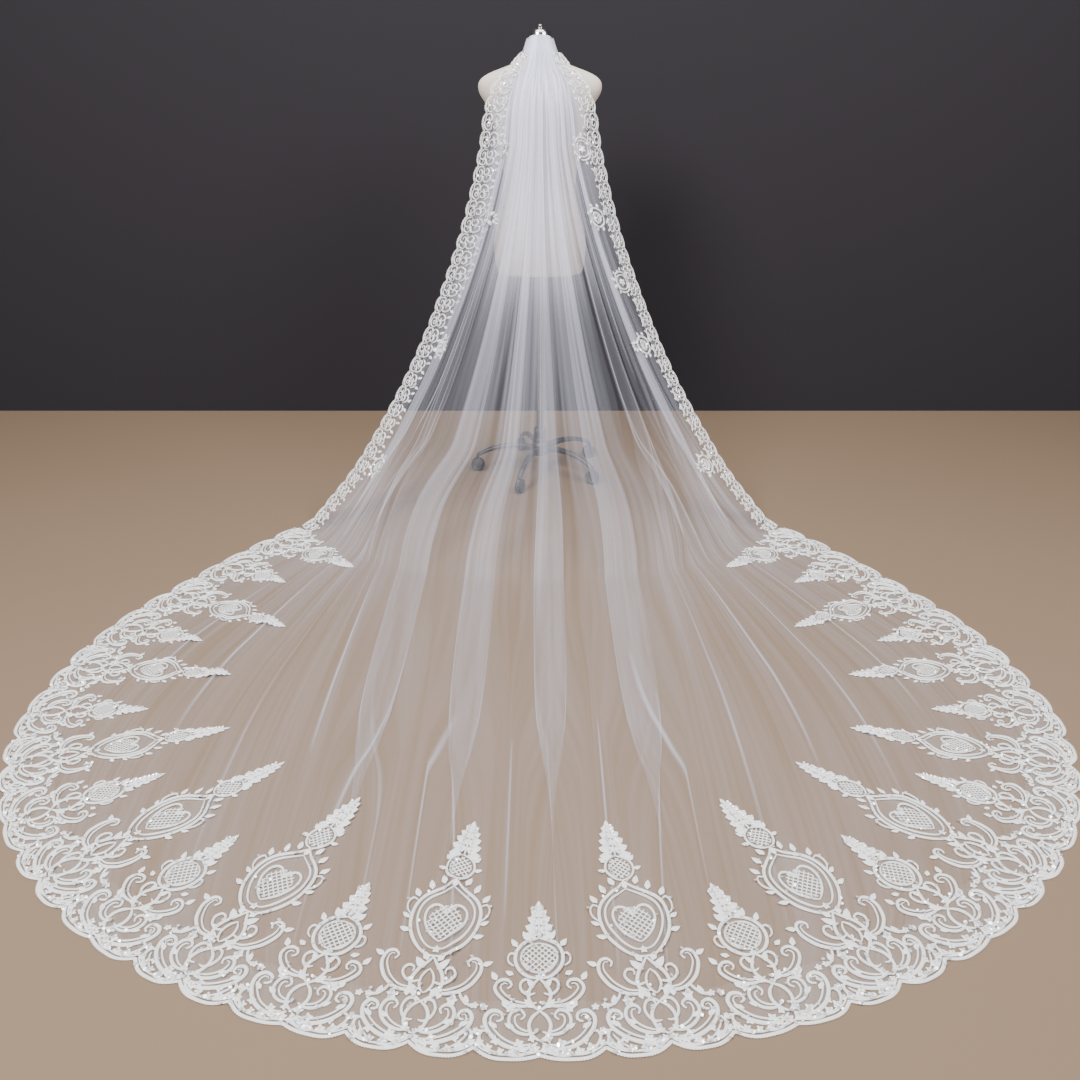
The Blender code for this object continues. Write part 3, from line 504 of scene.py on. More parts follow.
def netColumns():
    # each column of the net: its zone (0 and 9 are the margins), its share of it, and its flat place
    widths = [netSheet["margin"]] + [fold["flat"] for fold in netFolds] + [netSheet["margin"]]
    starts = np.concatenate([[0.0], np.cumsum(widths)]) - sum(widths) / 2.0
    places = []
    for number, width in enumerate(widths):
        count = 7 if number in (0, len(widths) - 1) else int(round(width / 0.0098))
        places += list(starts[number] + width * np.arange(count) / count)
        if 0 < number < len(widths) - 1:
            for turn in (-foldShape["edge"], foldShape["edge"]):
                middle = starts[number] + width * (turn + 1.0) / 2.0
                places += [middle - 0.0028, middle, middle + 0.0028]
    places.append(starts[-1])
    for at, *_ in netCreases:
        places += [at - netSheet["creaseLine"], at, at + netSheet["creaseLine"]]
    places = np.array(sorted(places))
    keep = np.concatenate([[True], np.diff(places) > 0.0011])
    places = places[keep]
    zone = np.clip(np.searchsorted(starts, places + 1e-9, "right") - 1, 0, len(widths) - 1)
    share = (places - starts[zone]) / np.array(widths)[zone]
    return places, zone, share, np.array(widths), starts


foldShape["edge"] = math.acos(1.0 / (math.pi * netSheet["turn"])) / math.pi
flatAcross, columnZone, columnShare, zoneWidths, zoneStarts = netColumns()


def netRowPlaces():
    # rows set so that they lie about evenly down the middle of the sheet
    fine = np.linspace(0.0, lastRow, 4000)
    line = basePoints(fine, np.zeros_like(fine))
    length = np.concatenate([[0.0], np.cumsum(np.linalg.norm(np.diff(line, axis=0), axis=1))])
    count = int(length[-1] / netSheet["rowLength"])
    even = np.linspace(0.0, length[-1], count)
    return np.interp(even, length, fine), even


rowPlaces, flatDown = netRowPlaces()


def netGrid():
    rows, columns = len(rowPlaces), len(flatAcross)
    across = np.zeros((rows, columns))
    lift = np.zeros((rows, columns))
    edgeLine = np.zeros((rows, columns))
    tables = {kind: foldTable(kind) for kind in (False, True)}
    turn = columnShare * 2.0 - 1.0
    nearEdge = np.zeros(columns)
    for zone in range(1, len(netFolds) + 1):
        for sign in (-1.0, 1.0):
            middle = zoneStarts[zone] + zoneWidths[zone] * (sign * foldShape["edge"] + 1.0) / 2.0
            nearEdge = np.maximum(nearEdge, 1.0 - np.abs(flatAcross - middle) / 0.0030)
    for number, row in enumerate(rowPlaces):
        starts, settled = foldStarts(row)
        ends = np.concatenate([[-1.0], starts, [1.0]])
        begin, finish = ends[columnZone], ends[columnZone + 1]
        line = begin + (finish - begin) * columnShare
        layer = netSheet["hangingLayer"] + (netSheet["floorLayer"] - netSheet["hangingLayer"]) * settled
        for zone in range(1, len(netFolds) + 1):
            here = columnZone == zone
            table = tables[netFolds[zone - 1]["runsOn"]]
            narrow, turned, high = (float(easedCurve(np.array([row]), rowNumbers, table[:, k])[0])
                                    for k in range(3))
            half = (finish[here] - begin[here]) / 2.0
            folded = half * narrow
            middle = (finish[here] + begin[here]) / 2.0
            push = netSheet["turn"] * folded * turned
            # outside the folded share of its width the cloth runs on plainly
            inside = np.clip(turn[here] / narrow, -1.0, 1.0)
            line[here] = middle + half * turn[here] - push * np.sin(math.pi * inside)
            bump = easedCurve(inside, foldShape["turn"], foldShape["level"])
            lift[number, here] = layer * high * bump
            edgeLine[number, here] = nearEdge[here] * smoothShare(turned * high * narrow, 0.55, 0.95)
        across[number] = line
    return across, lift, edgeLine


def netRelief(row):
    # gathers at the head, soft pleats below it and listed creases on the train
    rowGrid, flatGrid = np.meshgrid(row, flatAcross, indexing="ij")
    gather = 1.0 - smoothShare(rowGrid, 2.0, 8.5)
    fine = np.cos(flatGrid * math.tau / 0.047 + 1.3 * np.sin(flatGrid * 9.0))
    fine += 0.6 * np.cos(flatGrid * math.tau / 0.029 + 2.0 * np.sin(flatGrid * 5.0 + 1.0))
    relief = 0.0013 * gather * (fine + 1.6)
    hang = smoothShare(rowGrid, 3.0, 7.0) * (1.0 - smoothShare(rowGrid, 13.0, 16.0))
    pleat = np.cos(flatGrid * math.tau / 0.118 + 1.7 * np.sin(flatGrid * 3.1) + 0.05 * rowGrid)
    pleat += 0.5 * np.cos(flatGrid * math.tau / 0.067 + 2.3 * np.sin(flatGrid * 4.3))
    relief += 0.0036 * hang * (pleat + 1.5)
    line = np.zeros_like(relief)
    for at, first, last, high, wide in netCreases:
        shape = np.exp(-((flatGrid - at) / wide) ** 2)
        span = (rowGrid - first) / (last - first)
        fade = np.where((span > 0.0) & (span < 1.0), np.sin(math.pi * np.clip(span, 0.0, 1.0)) ** 0.6, 0.0)
        relief += high * shape * fade
        near = np.clip(1.0 - np.abs(flatGrid - at) / (netSheet["creaseLine"] + 0.0002), 0.0, 1.0)
        line = np.maximum(line, near * fade * 0.8)
    return relief, line


def gridNormals(grid):
    down = np.gradient(grid, axis=0)
    along = np.gradient(grid, axis=1)
    normals = np.cross(down, along)
    return normals / np.maximum(np.linalg.norm(normals, axis=-1, keepdims=True), 1e-9)


def countLayers(grid, edgeLine, creaseLine):
    # how many times thicker the gathered net lies here than when it is flat
    rows, columns = grid.shape[:2]
    steps = np.linalg.norm(np.diff(grid, axis=1), axis=-1)
    layers = np.ones((rows, columns))
    for zone in range(len(zoneWidths)):
        here = np.where(columnZone == zone)[0]
        used = steps[:, here[0]:min(here[-1] + 1, columns - 1)].sum(axis=1)
        flat = flatAcross[min(here[-1] + 1, columns - 1)] - flatAcross[here[0]]
        full = netFolds[zone - 1]["full"] if 0 < zone < len(zoneWidths) - 1 else 1.0
        hanging = 1.0 - smoothShare(rowPlaces, 11.0, 17.0)
        under = smoothShare(rowPlaces, 3.0, 8.0)
        tone = 1.0 + (full - 1.0) * hanging * under
        upper = 1.0 + netSheet["headCover"][zone] * (1.0 - smoothShare(rowPlaces, 6.6, 9.8))
        # where a fold ends on the train its layers thin out
        if 2 < zone < 7:
            upper = upper * (1.0 - 0.5 * smoothShare(rowPlaces, 20.5, 26.0))
        onFloor = smoothShare(rowPlaces, 15.0, 19.0)
        below = smoothShare(rowPlaces, 8.6, 10.4) * (1.0 - onFloor)
        clearer = 1.0 - netSheet["clearerOnFloor"] * onFloor - netSheet["clearerBelow"] * below
        layers[:, here] = (np.clip(flat / used, 0.9, 24.0) * tone * upper * clearer)[:, None]
    kernel = np.ones(9) / 9.0
    padded = np.pad(layers, ((0, 0), (4, 4)), mode="edge")
    layers = np.stack([np.convolve(line, kernel, mode="valid") for line in padded])
    return layers + netSheet["edgeLayers"] * edgeLine + netSheet["creaseLayers"] * creaseLine


def gridFaces(rows, columns):
    number = np.arange(rows * columns).reshape(rows, columns)
    return np.stack([number[:-1, :-1], number[1:, :-1], number[1:, 1:], number[:-1, 1:]], -1).reshape(-1, 4)


def makeMesh(name, points, faces, uvs, materials, slots=None, smooth=True):
    # a mesh from arrays; a face whose last corner is -1 is a triangle
    mesh = bpy.data.meshes.new(name)
    sizes = np.where(faces[:, 3] < 0, 3, 4)
    corners = faces[faces >= 0]
    mesh.vertices.add(len(points))
    mesh.vertices.foreach_set("co", points.astype(np.float32).ravel())
    mesh.loops.add(len(corners))
    mesh.polygons.add(len(faces))
    mesh.loops.foreach_set("vertex_index", corners.astype(np.int32))
    mesh.polygons.foreach_set("loop_start", np.concatenate([[0], np.cumsum(sizes)[:-1]]).astype(np.int32))
    for material in materials:
        mesh.materials.append(material)
    mesh.update(calc_edges=True)
    if slots is not None:
        mesh.polygons.foreach_set("material_index", slots.astype(np.int32))
    mesh.polygons.foreach_set("use_smooth", np.full(len(faces), smooth))
    layer = mesh.uv_layers.new(name="flat")
    layer.data.foreach_set("uv", uvs[corners].astype(np.float32).ravel())
    mesh.validate()
    piece = bpy.data.objects.new(name, mesh)
    bpy.context.collection.objects.link(piece)
    return piece


def buildNet():
    across, lift, edgeLine = netGrid()
    relief, creaseLine = netRelief(rowPlaces)
    rowGrid = np.repeat(rowPlaces[:, None], len(flatAcross), axis=1)
    grid = basePoints(rowGrid, across) + liftWays(rowGrid, across) * (lift + relief)[..., None]
    grid[..., 2] = np.maximum(grid[..., 2], 0.0008)
    layers = countLayers(grid, edgeLine, creaseLine)
    uvs = np.stack(np.meshgrid(flatAcross, flatDown, indexing="xy"), -1).reshape(-1, 2)
    piece = makeMesh("tulle_net", grid.reshape(-1, 3), gridFaces(*grid.shape[:2]), uvs, [netCloth])
    tag = piece.data.attributes.new("layers", "FLOAT", "POINT")
    tag.data.foreach_set("value", layers.astype(np.float32).ravel())
    return piece, grid


net, netPoints = buildNet()
netNormals = gridNormals(netPoints)
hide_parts("tulle")
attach(net, "root")
print("net made:", len(net.data.polygons) * 2, "triangles")

# The lace border: motifs drawn flat once, then laid along the train's edge and up the falls

laceBorder = {
    "cells": 13.5,            # motifs from the tip of the train to where its edge leaves the floor
    "scallop": 0.020,
    "spreadFrom": 0.050,      # the running part follows the edge this deep,
    "spreadTo": 0.150,        # and past this depth a motif keeps a straight middle line
    "sideFrom": 8,            # the side borders start at this motif
    "groundDeep": 0.118,
    "baseDeep": 0.120,
    "slimmer": 0.07,
    "sideSlimmer": 0.24,
    "sideShorter": 0.27,
    "cornerShorter": 0.16,
    "lift": 0.0012,
    "cordFuller": 1.18,       # how much fuller the couched cord is than it is drawn
    "fallCordFuller": 1.45,
    "innerCord": 0.0036,
    "floret": 0.0085,
    "fallOver": 0.022,        # how far the strip stands out past the hanging edge
    "besideShift": 0.075,     # how a spray moves out where the strip is narrow
    "fallColumns": 150,       # columns of the net that the falls' lace lies on
    "cordHigh": 0.0034,
    "sequinRadius": 0.0034,
    "seed": 7,
}


def outlineTrack():
    # right half of the train's outline from its tip, with the way along it
    turn = np.linspace(0.0, math.pi / 2.0, 900)
    x = trainOutline["endHalf"] * np.sin(turn)
    out = trainOutline["endMiddle"] + trainOutline["endReach"] * np.cos(turn)
    sideOut = np.linspace(trainOutline["endMiddle"], rowTable[netSheet["touchRow"]][1], 900)[1:]
    x = np.concatenate([x, outlineHalf(sideOut)])
    out = np.concatenate([out, sideOut])
    length = np.concatenate([[0.0], np.cumsum(np.hypot(np.diff(x), np.diff(out)))])
    return length, x, out


trackLength, trackX, trackOut = outlineTrack()
cellWidth = trackLength[-1] / laceBorder["cells"]


def outlineAt(along):
    # point on the outline and the direction along it; negative lengths are on the left
    side = np.where(along < 0.0, -1.0, 1.0)
    length = np.clip(np.abs(along), 0.0, trackLength[-1])
    point = np.stack([side * np.interp(length, trackLength, trackX),
                      standY - np.interp(length, trackLength, trackOut)], -1)
    ahead = np.clip(length + 0.02, 0.0, trackLength[-1])
    behind = np.clip(length - 0.02, 0.0, trackLength[-1])
    way = np.stack([np.interp(ahead, trackLength, trackX) - np.interp(behind, trackLength, trackX),
                    side * (np.interp(behind, trackLength, trackOut) - np.interp(ahead, trackLength, trackOut))], -1)
    return point, way / np.linalg.norm(way, axis=-1, keepdims=True)


def floorPlace(cell, across, deep):
    share = np.clip((deep - laceBorder["spreadFrom"]) / (laceBorder["spreadTo"] - laceBorder["spreadFrom"]), 0.0, 1.0)
    curved, way = outlineAt(cell * cellWidth + across)
    curved = curved + np.stack([-way[..., 1], way[..., 0]], -1) * deep[..., None]
    middle, way = outlineAt(np.array([cell * cellWidth]))
    inwards = np.array([-way[0, 1], way[0, 0]])
    straight = middle[0] + way[0] * across[..., None] + inwards * deep[..., None]
    share = (share * (np.abs(across) < cellWidth * 0.5))[..., None]
    return curved * (1.0 - share) + straight * share


# tall motif, in mm: each stroke on its right half has its width, then points across and in from the edge
tallStrokes = (
    (6.5, ((5, 30), (24, 24), (48, 27), (72, 38), (92, 57), (98, 80), (88, 95), (74, 90), (74, 78), (84, 76))),
    (5.5, ((5, 48), (20, 42), (40, 46), (58, 60), (66, 80), (60, 98), (46, 102), (38, 92), (44, 83))),
    (4.5, ((5, 66), (15, 64), (26, 74), (30, 92), (22, 108), (10, 108), (8, 98))),
    (5.0, ((62, 12), (80, 16), (96, 28), (104, 44), (98, 56), (88, 52))),
    (4.5, ((58, 12), (42, 10), (26, 12), (14, 20), (20, 30))),
    (6.0, ((6, 132), (24, 126), (48, 126), (68, 138), (84, 156), (96, 182), (92, 204), (78, 210), (68, 200),
          (74, 190))),
    (4.5, ((10, 150), (26, 144), (42, 152), (50, 168), (42, 180), (30, 176), (32, 166))),
    (4.5, ((100, 104), (84, 108), (70, 120), (62, 136))),
    (6.0, ((0, 206), (18, 208), (40, 226), (58, 252), (68, 284), (68, 320), (56, 348), (36, 366), (16, 380),
          (0, 398))),
    (4.0, ((0, 222), (18, 226), (36, 244), (50, 270), (57, 298), (54, 326), (42, 346), (24, 360), (0, 376))),
    (4.5, ((0, 240), (14, 250), (30, 268), (41, 292), (41, 314), (31, 328), (16, 328), (4, 316), (0, 308))),
    (4.5, ((0, 400), (14, 404), (26, 418), (30, 436), (24, 454), (12, 464), (0, 468))),
    (3.5, ((72, 300), (82, 312), (84, 330), (76, 342), (66, 336))),
    (6.0, ((0, 204), (9, 190), (24, 168), (29, 144), (19, 120), (0, 104))),
    (4.0, ((0, 176), (9, 164), (13, 146), (8, 130), (0, 122))),
    (5.5, ((0, 104), (14, 92), (21, 72), (15, 50), (0, 38))),
)
tallStems = (
    (4.5, ((0, 466), (0, 500), (0, 560))),
)
tallLeaves = (
    (12, 118, 50, 26, 11), (12, 176, 48, 28, 12), (10, 194, 64, 20, 10), (64, 258, 20, 20, 9),
    (72, 290, 35, 18, 8), (66, 346, 62, 22, 10), (44, 368, 72, 24, 10), (22, 386, 70, 22, 10),
    (30, 428, 20, 16, 8), (26, 452, 55, 18, 8), (6, 466, 15, 26, 20), (7, 476, 65, 24, 19),
    (6, 488, 20, 24, 18), (6, 498, 68, 23, 18), (5, 510, 22, 21, 17),
    (5, 520, 70, 21, 16), (4, 531, 26, 17, 14), (3, 540, 74, 18, 13), (3, 550, 35, 12, 10),
    (96, 196, 30, 20, 9),
    (80, 106, 100, 20, 9), (56, 104, 92, 20, 9), (28, 112, 84, 18, 8), (50, 64, 30, 18, 8), (78, 62, 38, 18, 8),
)
tallTips = ((0, 552, 90, 24, 12), (0, 376, 90, 22, 12))
tallTrellis = ({"middle": (0, 288), "half": (34, 40), "step": 9.5},
               {"middle": (0, 434), "half": (23, 28), "step": 8.5})
tallFlowers = ((54, 112, 11), (0, 222, 9), (96, 108, 8))
# short motif
shortStrokes = (
    (6.5, ((5, 34), (22, 24), (46, 24), (72, 36), (92, 60), (96, 84), (84, 98), (68, 94), (66, 80), (76, 76))),
    (5.0, ((5, 56), (22, 50), (42, 56), (54, 74), (50, 94), (34, 100), (26, 88), (34, 80))),
    (4.5, ((62, 12), (80, 16), (96, 28), (104, 44), (98, 56), (88, 52))),
    (4.5, ((58, 12), (42, 10), (26, 12), (14, 20), (20, 30))),
    (5.5, ((6, 116), (26, 108), (50, 112), (70, 128), (80, 148), (72, 164), (56, 164), (50, 152), (58, 146))),
    (4.5, ((8, 136), (20, 132), (32, 142), (34, 158), (24, 166), (14, 160))),
    (6.0, ((0, 168), (20, 172), (38, 188), (46, 210), (42, 234), (26, 252), (0, 262))),
    (3.5, ((0, 180), (16, 184), (29, 197), (35, 212), (31, 230), (18, 243), (0, 249))),
    (3.5, ((48, 196), (58, 204), (60, 218), (52, 226), (46, 220))),
    (5.5, ((0, 168), (12, 154), (20, 134), (14, 112), (0, 98))),
    (5.5, ((0, 98), (13, 86), (19, 68), (13, 48), (0, 38))),
)
shortStems = (
    (4.5, ((0, 262), (0, 300), (0, 346))),
)
shortLeaves = (
    (10, 104, 48, 22, 10), (10, 148, 60, 20, 9), (42, 240, 58, 20, 9), (20, 256, 62, 22, 10),
    (6, 262, 15, 24, 18),
    (6, 272, 66, 22, 17), (5, 283, 20, 21, 16), (5, 293, 70, 20, 15), (4, 304, 24, 18, 14),
    (4, 313, 72, 18, 13),
    (3, 323, 30, 13, 11), (2, 330, 76, 14, 10), (78, 164, 60, 20, 9), (60, 104, 80, 18, 8),
    (44, 62, 30, 18, 8), (74, 62, 38, 18, 8), (48, 176, 30, 16, 8),
)
shortTips = ((0, 334, 90, 22, 11), (0, 262, 90, 18, 10))
shortTrellis = ({"middle": (0, 213), "half": (32, 32), "step": 9.0},)
shortFlowers = ((52, 104, 10), (0, 172, 8), (98, 106, 8))
# strip up the hanging edges: two small scrolls on each half of its repeat
fallStrokes = tuple(stroke for x in (27, 82) for stroke in (
    (3.2, ((x - 23, 40), (x - 24, 24), (x - 14, 13), (x + 2, 12), (x + 8, 24), (x, 34),
                             (x - 12, 32), (x - 13, 22), (x - 4, 21))),
    (3.2, ((x + 8, 13), (x + 22, 16), (x + 25, 30), (x + 16, 40), (x + 5, 36), (x + 9, 27), (x + 16, 28))),
    (3.0, ((x - 22, 42), (x - 8, 42), (x + 2, 52), (x - 4, 64), (x - 16, 64), (x - 19, 54), (x - 11, 51))),
    (3.0, ((x + 4, 42), (x + 18, 46), (x + 24, 58), (x + 16, 72), (x + 4, 72), (x + 2, 62), (x + 11, 58))),
    (2.8, ((x - 24, 66), (x - 16, 76), (x - 4, 78), (x + 4, 74))),
))
fallLeaves = ((40, 78, 60, 15, 7), (96, 76, 60, 15, 7), (12, 80, 50, 14, 7), (68, 80, 110, 14, 7))
# florets along the edge: across, and in from the scallops
baseFlorets = ((8, 18), (27, 20), (45, 19), (66, 18), (86, 20), (103, 19), (36, 33), (76, 35), (108, 36), (14, 38))
# closer net inside the motifs: middle across and in, half sizes
tallFills = ((0, 302, 62, 88), (0, 434, 26, 34), (0, 510, 14, 50))
shortFills = ((0, 214, 44, 46), (0, 300, 14, 40))
# spray on the net beside the hanging strip, in from the edge
sprayStrokes = (
    (4.5, ((0, 92), (18, 96), (30, 112), (30, 132), (16, 146), (0, 150))),
    (3.6, ((0, 104), (11, 108), (18, 120), (14, 133), (0, 138))),
)
sprayLeaves = ((8, 152, 50, 20, 9), (5, 166, 60, 18, 8), (30, 104, 10, 14, 8), (32, 130, 30, 14, 8))
sprayTips = ((0, 172, 90, 18, 9), (0, 116, 90, 12, 9))
# round medallion on the net beside the strip
roundStrokes = (
    (4.2, ((0, 72), (22, 78), (34, 96), (34, 116), (20, 133), (0, 139))),
    (3.0, ((0, 82), (15, 86), (24, 99), (24, 113), (14, 125), (0, 129))),
)
roundLeaves = ((6, 140, 40, 15, 8), (26, 132, 20, 13, 7), (38, 100, -10, 12, 7))
# how wide the strip is from the floor up, on the left and on the right
fallReach = {-1.0: (1.02, 1.10, 1.20, 1.16, 1.00), 1.0: (0.95, 0.85, 0.62, 0.62, 0.90)}
fallBeside = {-1.0: {1: "spray", 3: "spray", 5: "spray", 6: "spray"},
              1.0: {1: "spray", 3: "spray", 4: "round", 5: "spray", 6: "round"}}


def smoothLine(points, spacing):
    # even points along a smooth line through the drawn ones
    points = np.array(points, float)
    if len(points) == 2:
        points = np.array([points[0], points.mean(axis=0), points[1]])
    padded = np.concatenate([[2 * points[0] - points[1]], points, [2 * points[-1] - points[-2]]])
    found = []
    for number in range(1, len(padded) - 2):
        a, b, c, d = padded[number - 1:number + 3]
        share = np.linspace(0.0, 1.0, 12, endpoint=False)[:, None]
        found.append(0.5 * (2 * b + (c - a) * share + (2 * a - 5 * b + 4 * c - d) * share ** 2
                            + (3 * b - a - 3 * c + d) * share ** 3))
    found = np.concatenate(found + [points[-1:]])
    length = np.concatenate([[0.0], np.cumsum(np.linalg.norm(np.diff(found, axis=0), axis=1))])
    even = np.linspace(0.0, length[-1], max(3, int(round(length[-1] / spacing)) + 1))
    return np.stack([np.interp(even, length, found[:, k]) for k in range(2)], -1), even


class FlatPattern:
    # a flat drawing of domed ribbons, leaves, flowers and sequins: across, in from the edge, height

    def __init__(self):
        self.points, self.faces, self.uvs, self.slots, self.count = [], [], [], [], 0

    def add(self, points, faces, uvs, slot):
        faces = np.where(np.array(faces) >= 0, np.array(faces) + self.count, -1)
        self.points.append(np.array(points, float))
        self.faces.append(faces)
        self.uvs.append(np.array(uvs, float))
        self.slots.append(np.full(len(faces), slot))
        self.count += len(points)

    def ribbon(self, points, wide, high, spacing=0.0062, taper=0.45, slot=0):
        line, along = smoothLine(points, spacing)
        way = np.gradient(line, axis=0)
        way /= np.maximum(np.linalg.norm(way, axis=1, keepdims=True), 1e-9)
        side = np.stack([-way[:, 1], way[:, 0]], -1)
        share = along / along[-1]
        body = np.minimum(1.0, np.minimum(share, 1.0 - share) / 0.22) ** 0.7
        half = wide / 2.0 * (taper + (1.0 - taper) * body)
        points, uvs = [], []
        for across, up in ((1.0, 0.0), (0.5, 0.85), (-0.5, 0.85), (-1.0, 0.0)):
            place = line + side * (half * across)[:, None]
            points.append(np.column_stack([place, half / (wide / 2.0) * high * up]))
            uvs.append(np.column_stack([along, half * across]))
        steps = len(line)
        faces = [(k * steps + i, k * steps + i + 1, (k + 1) * steps + i + 1, (k + 1) * steps + i)
                 for k in range(3) for i in range(steps - 1)]
        self.add(np.concatenate(points), [face[::-1] for face in faces], np.concatenate(uvs), slot)

    def leaf(self, x, deep, angle, size, wide, high=0.0016):
        way = np.array([math.cos(angle), math.sin(angle)])
        side = np.array([-way[1], way[0]])
        points, uvs = [], []
        for along, out, up in ((0, 0, 0.2), (0.35, 0.5, 0), (0.35, 0, 1), (0.35, -0.5, 0),
                               (0.72, 0.36, 0), (0.72, 0, 0.8), (0.72, -0.36, 0), (1.0, 0, 0.1)):
            place = np.array([x, deep]) + way * along * size + side * out * wide
            points.append((*place, up * high))
            uvs.append((along * size, out * wide))
        faces = [(0, 2, 1, -1), (0, 3, 2, -1), (1, 2, 5, 4), (2, 3, 6, 5), (4, 5, 7, -1), (5, 6, 7, -1)]
        self.add(points, faces, uvs, 1)

    def flower(self, x, deep, radius, petals=5):
        for number in range(petals):
            self.leaf(x, deep, math.tau * (number + 0.25) / petals, radius, radius * 0.75)
        self.disc(x, deep, radius * 0.24, 0.0026, 0.0, 0.0, 2)

    def disc(self, x, deep, radius, high, tiltX, tiltY, slot):
        points = [(x, deep, high + 0.0004)]
        for corner in range(6):
            angle = math.tau * corner / 6
            dx, dy = radius * math.cos(angle), radius * math.sin(angle)
            points.append((x + dx, deep + dy, high + dx * tiltX + dy * tiltY))
        faces = [(0, 1 + k, 1 + (k + 1) % 6, -1) for k in range(6)]
        self.add(points, faces, [(p[0], p[1]) for p in points], slot)

    def oval(self, middle, half, slot):
        points = [(middle[0], middle[1], 0.0004)]
        for ring in (0.4, 0.75, 1.0):
            for corner in range(20):
                angle = math.tau * corner / 20
                points.append((middle[0] + half[0] * ring * math.cos(angle),
                               middle[1] + half[1] * ring * math.sin(angle), 0.0004))
        faces = [(0, 1 + k, 1 + (k + 1) % 20, -1) for k in range(20)]
        faces += [(1 + 20 * r + k, 21 + 20 * r + k, 21 + 20 * r + (k + 1) % 20, 1 + 20 * r + (k + 1) % 20)
                  for r in range(2) for k in range(20)]
        self.add(points, faces, [(p[0], p[1]) for p in points], slot)

    def trellis(self, middle, half, step):
        for sign in (1.0, -1.0):
            offset = -1.4 * (half[0] + half[1])
            while offset < 1.4 * (half[0] + half[1]):
                # crossings of y = sign * x + offset with the oval
                a = 1.0 / half[0] ** 2 + 1.0 / half[1] ** 2
                b = 2.0 * sign * offset / half[1] ** 2
                c = offset ** 2 / half[1] ** 2 - 1.0
                room = b * b - 4.0 * a * c
                if room > 0.0:
                    first, last = (-b - math.sqrt(room)) / (2 * a), (-b + math.sqrt(room)) / (2 * a)
                    if last - first > step * 0.4:
                        ends = [(middle[0] + x, middle[1] + sign * x + offset) for x in (first, last)]
                        self.ribbon(ends, 0.0027, 0.0012, 0.012, 1.0)
                offset += step * math.sqrt(2.0)

    def done(self):
        return (np.concatenate(self.points), np.concatenate(self.faces),
                np.concatenate(self.uvs), np.concatenate(self.slots))


def scallopDepth(across, kind):
    # scallops meet in small valleys: two to a tall motif, a broad one to a short one, four small ones on a fall
    if kind == "fall":
        return 0.011 * (1.0 - np.abs(np.sin(2.0 * math.tau * across / cellWidth))) ** 1.4
    shape = (1.0 - np.abs(np.sin(math.tau * across / cellWidth))) ** 1.5
    inner = 1.0 if kind == "tall" else 0.42
    nearSide = smoothShare(np.abs(across), cellWidth * 0.2, cellWidth * 0.3)
    return laceBorder["scallop"] * shape * (inner + (1.0 - inner) * nearSide)


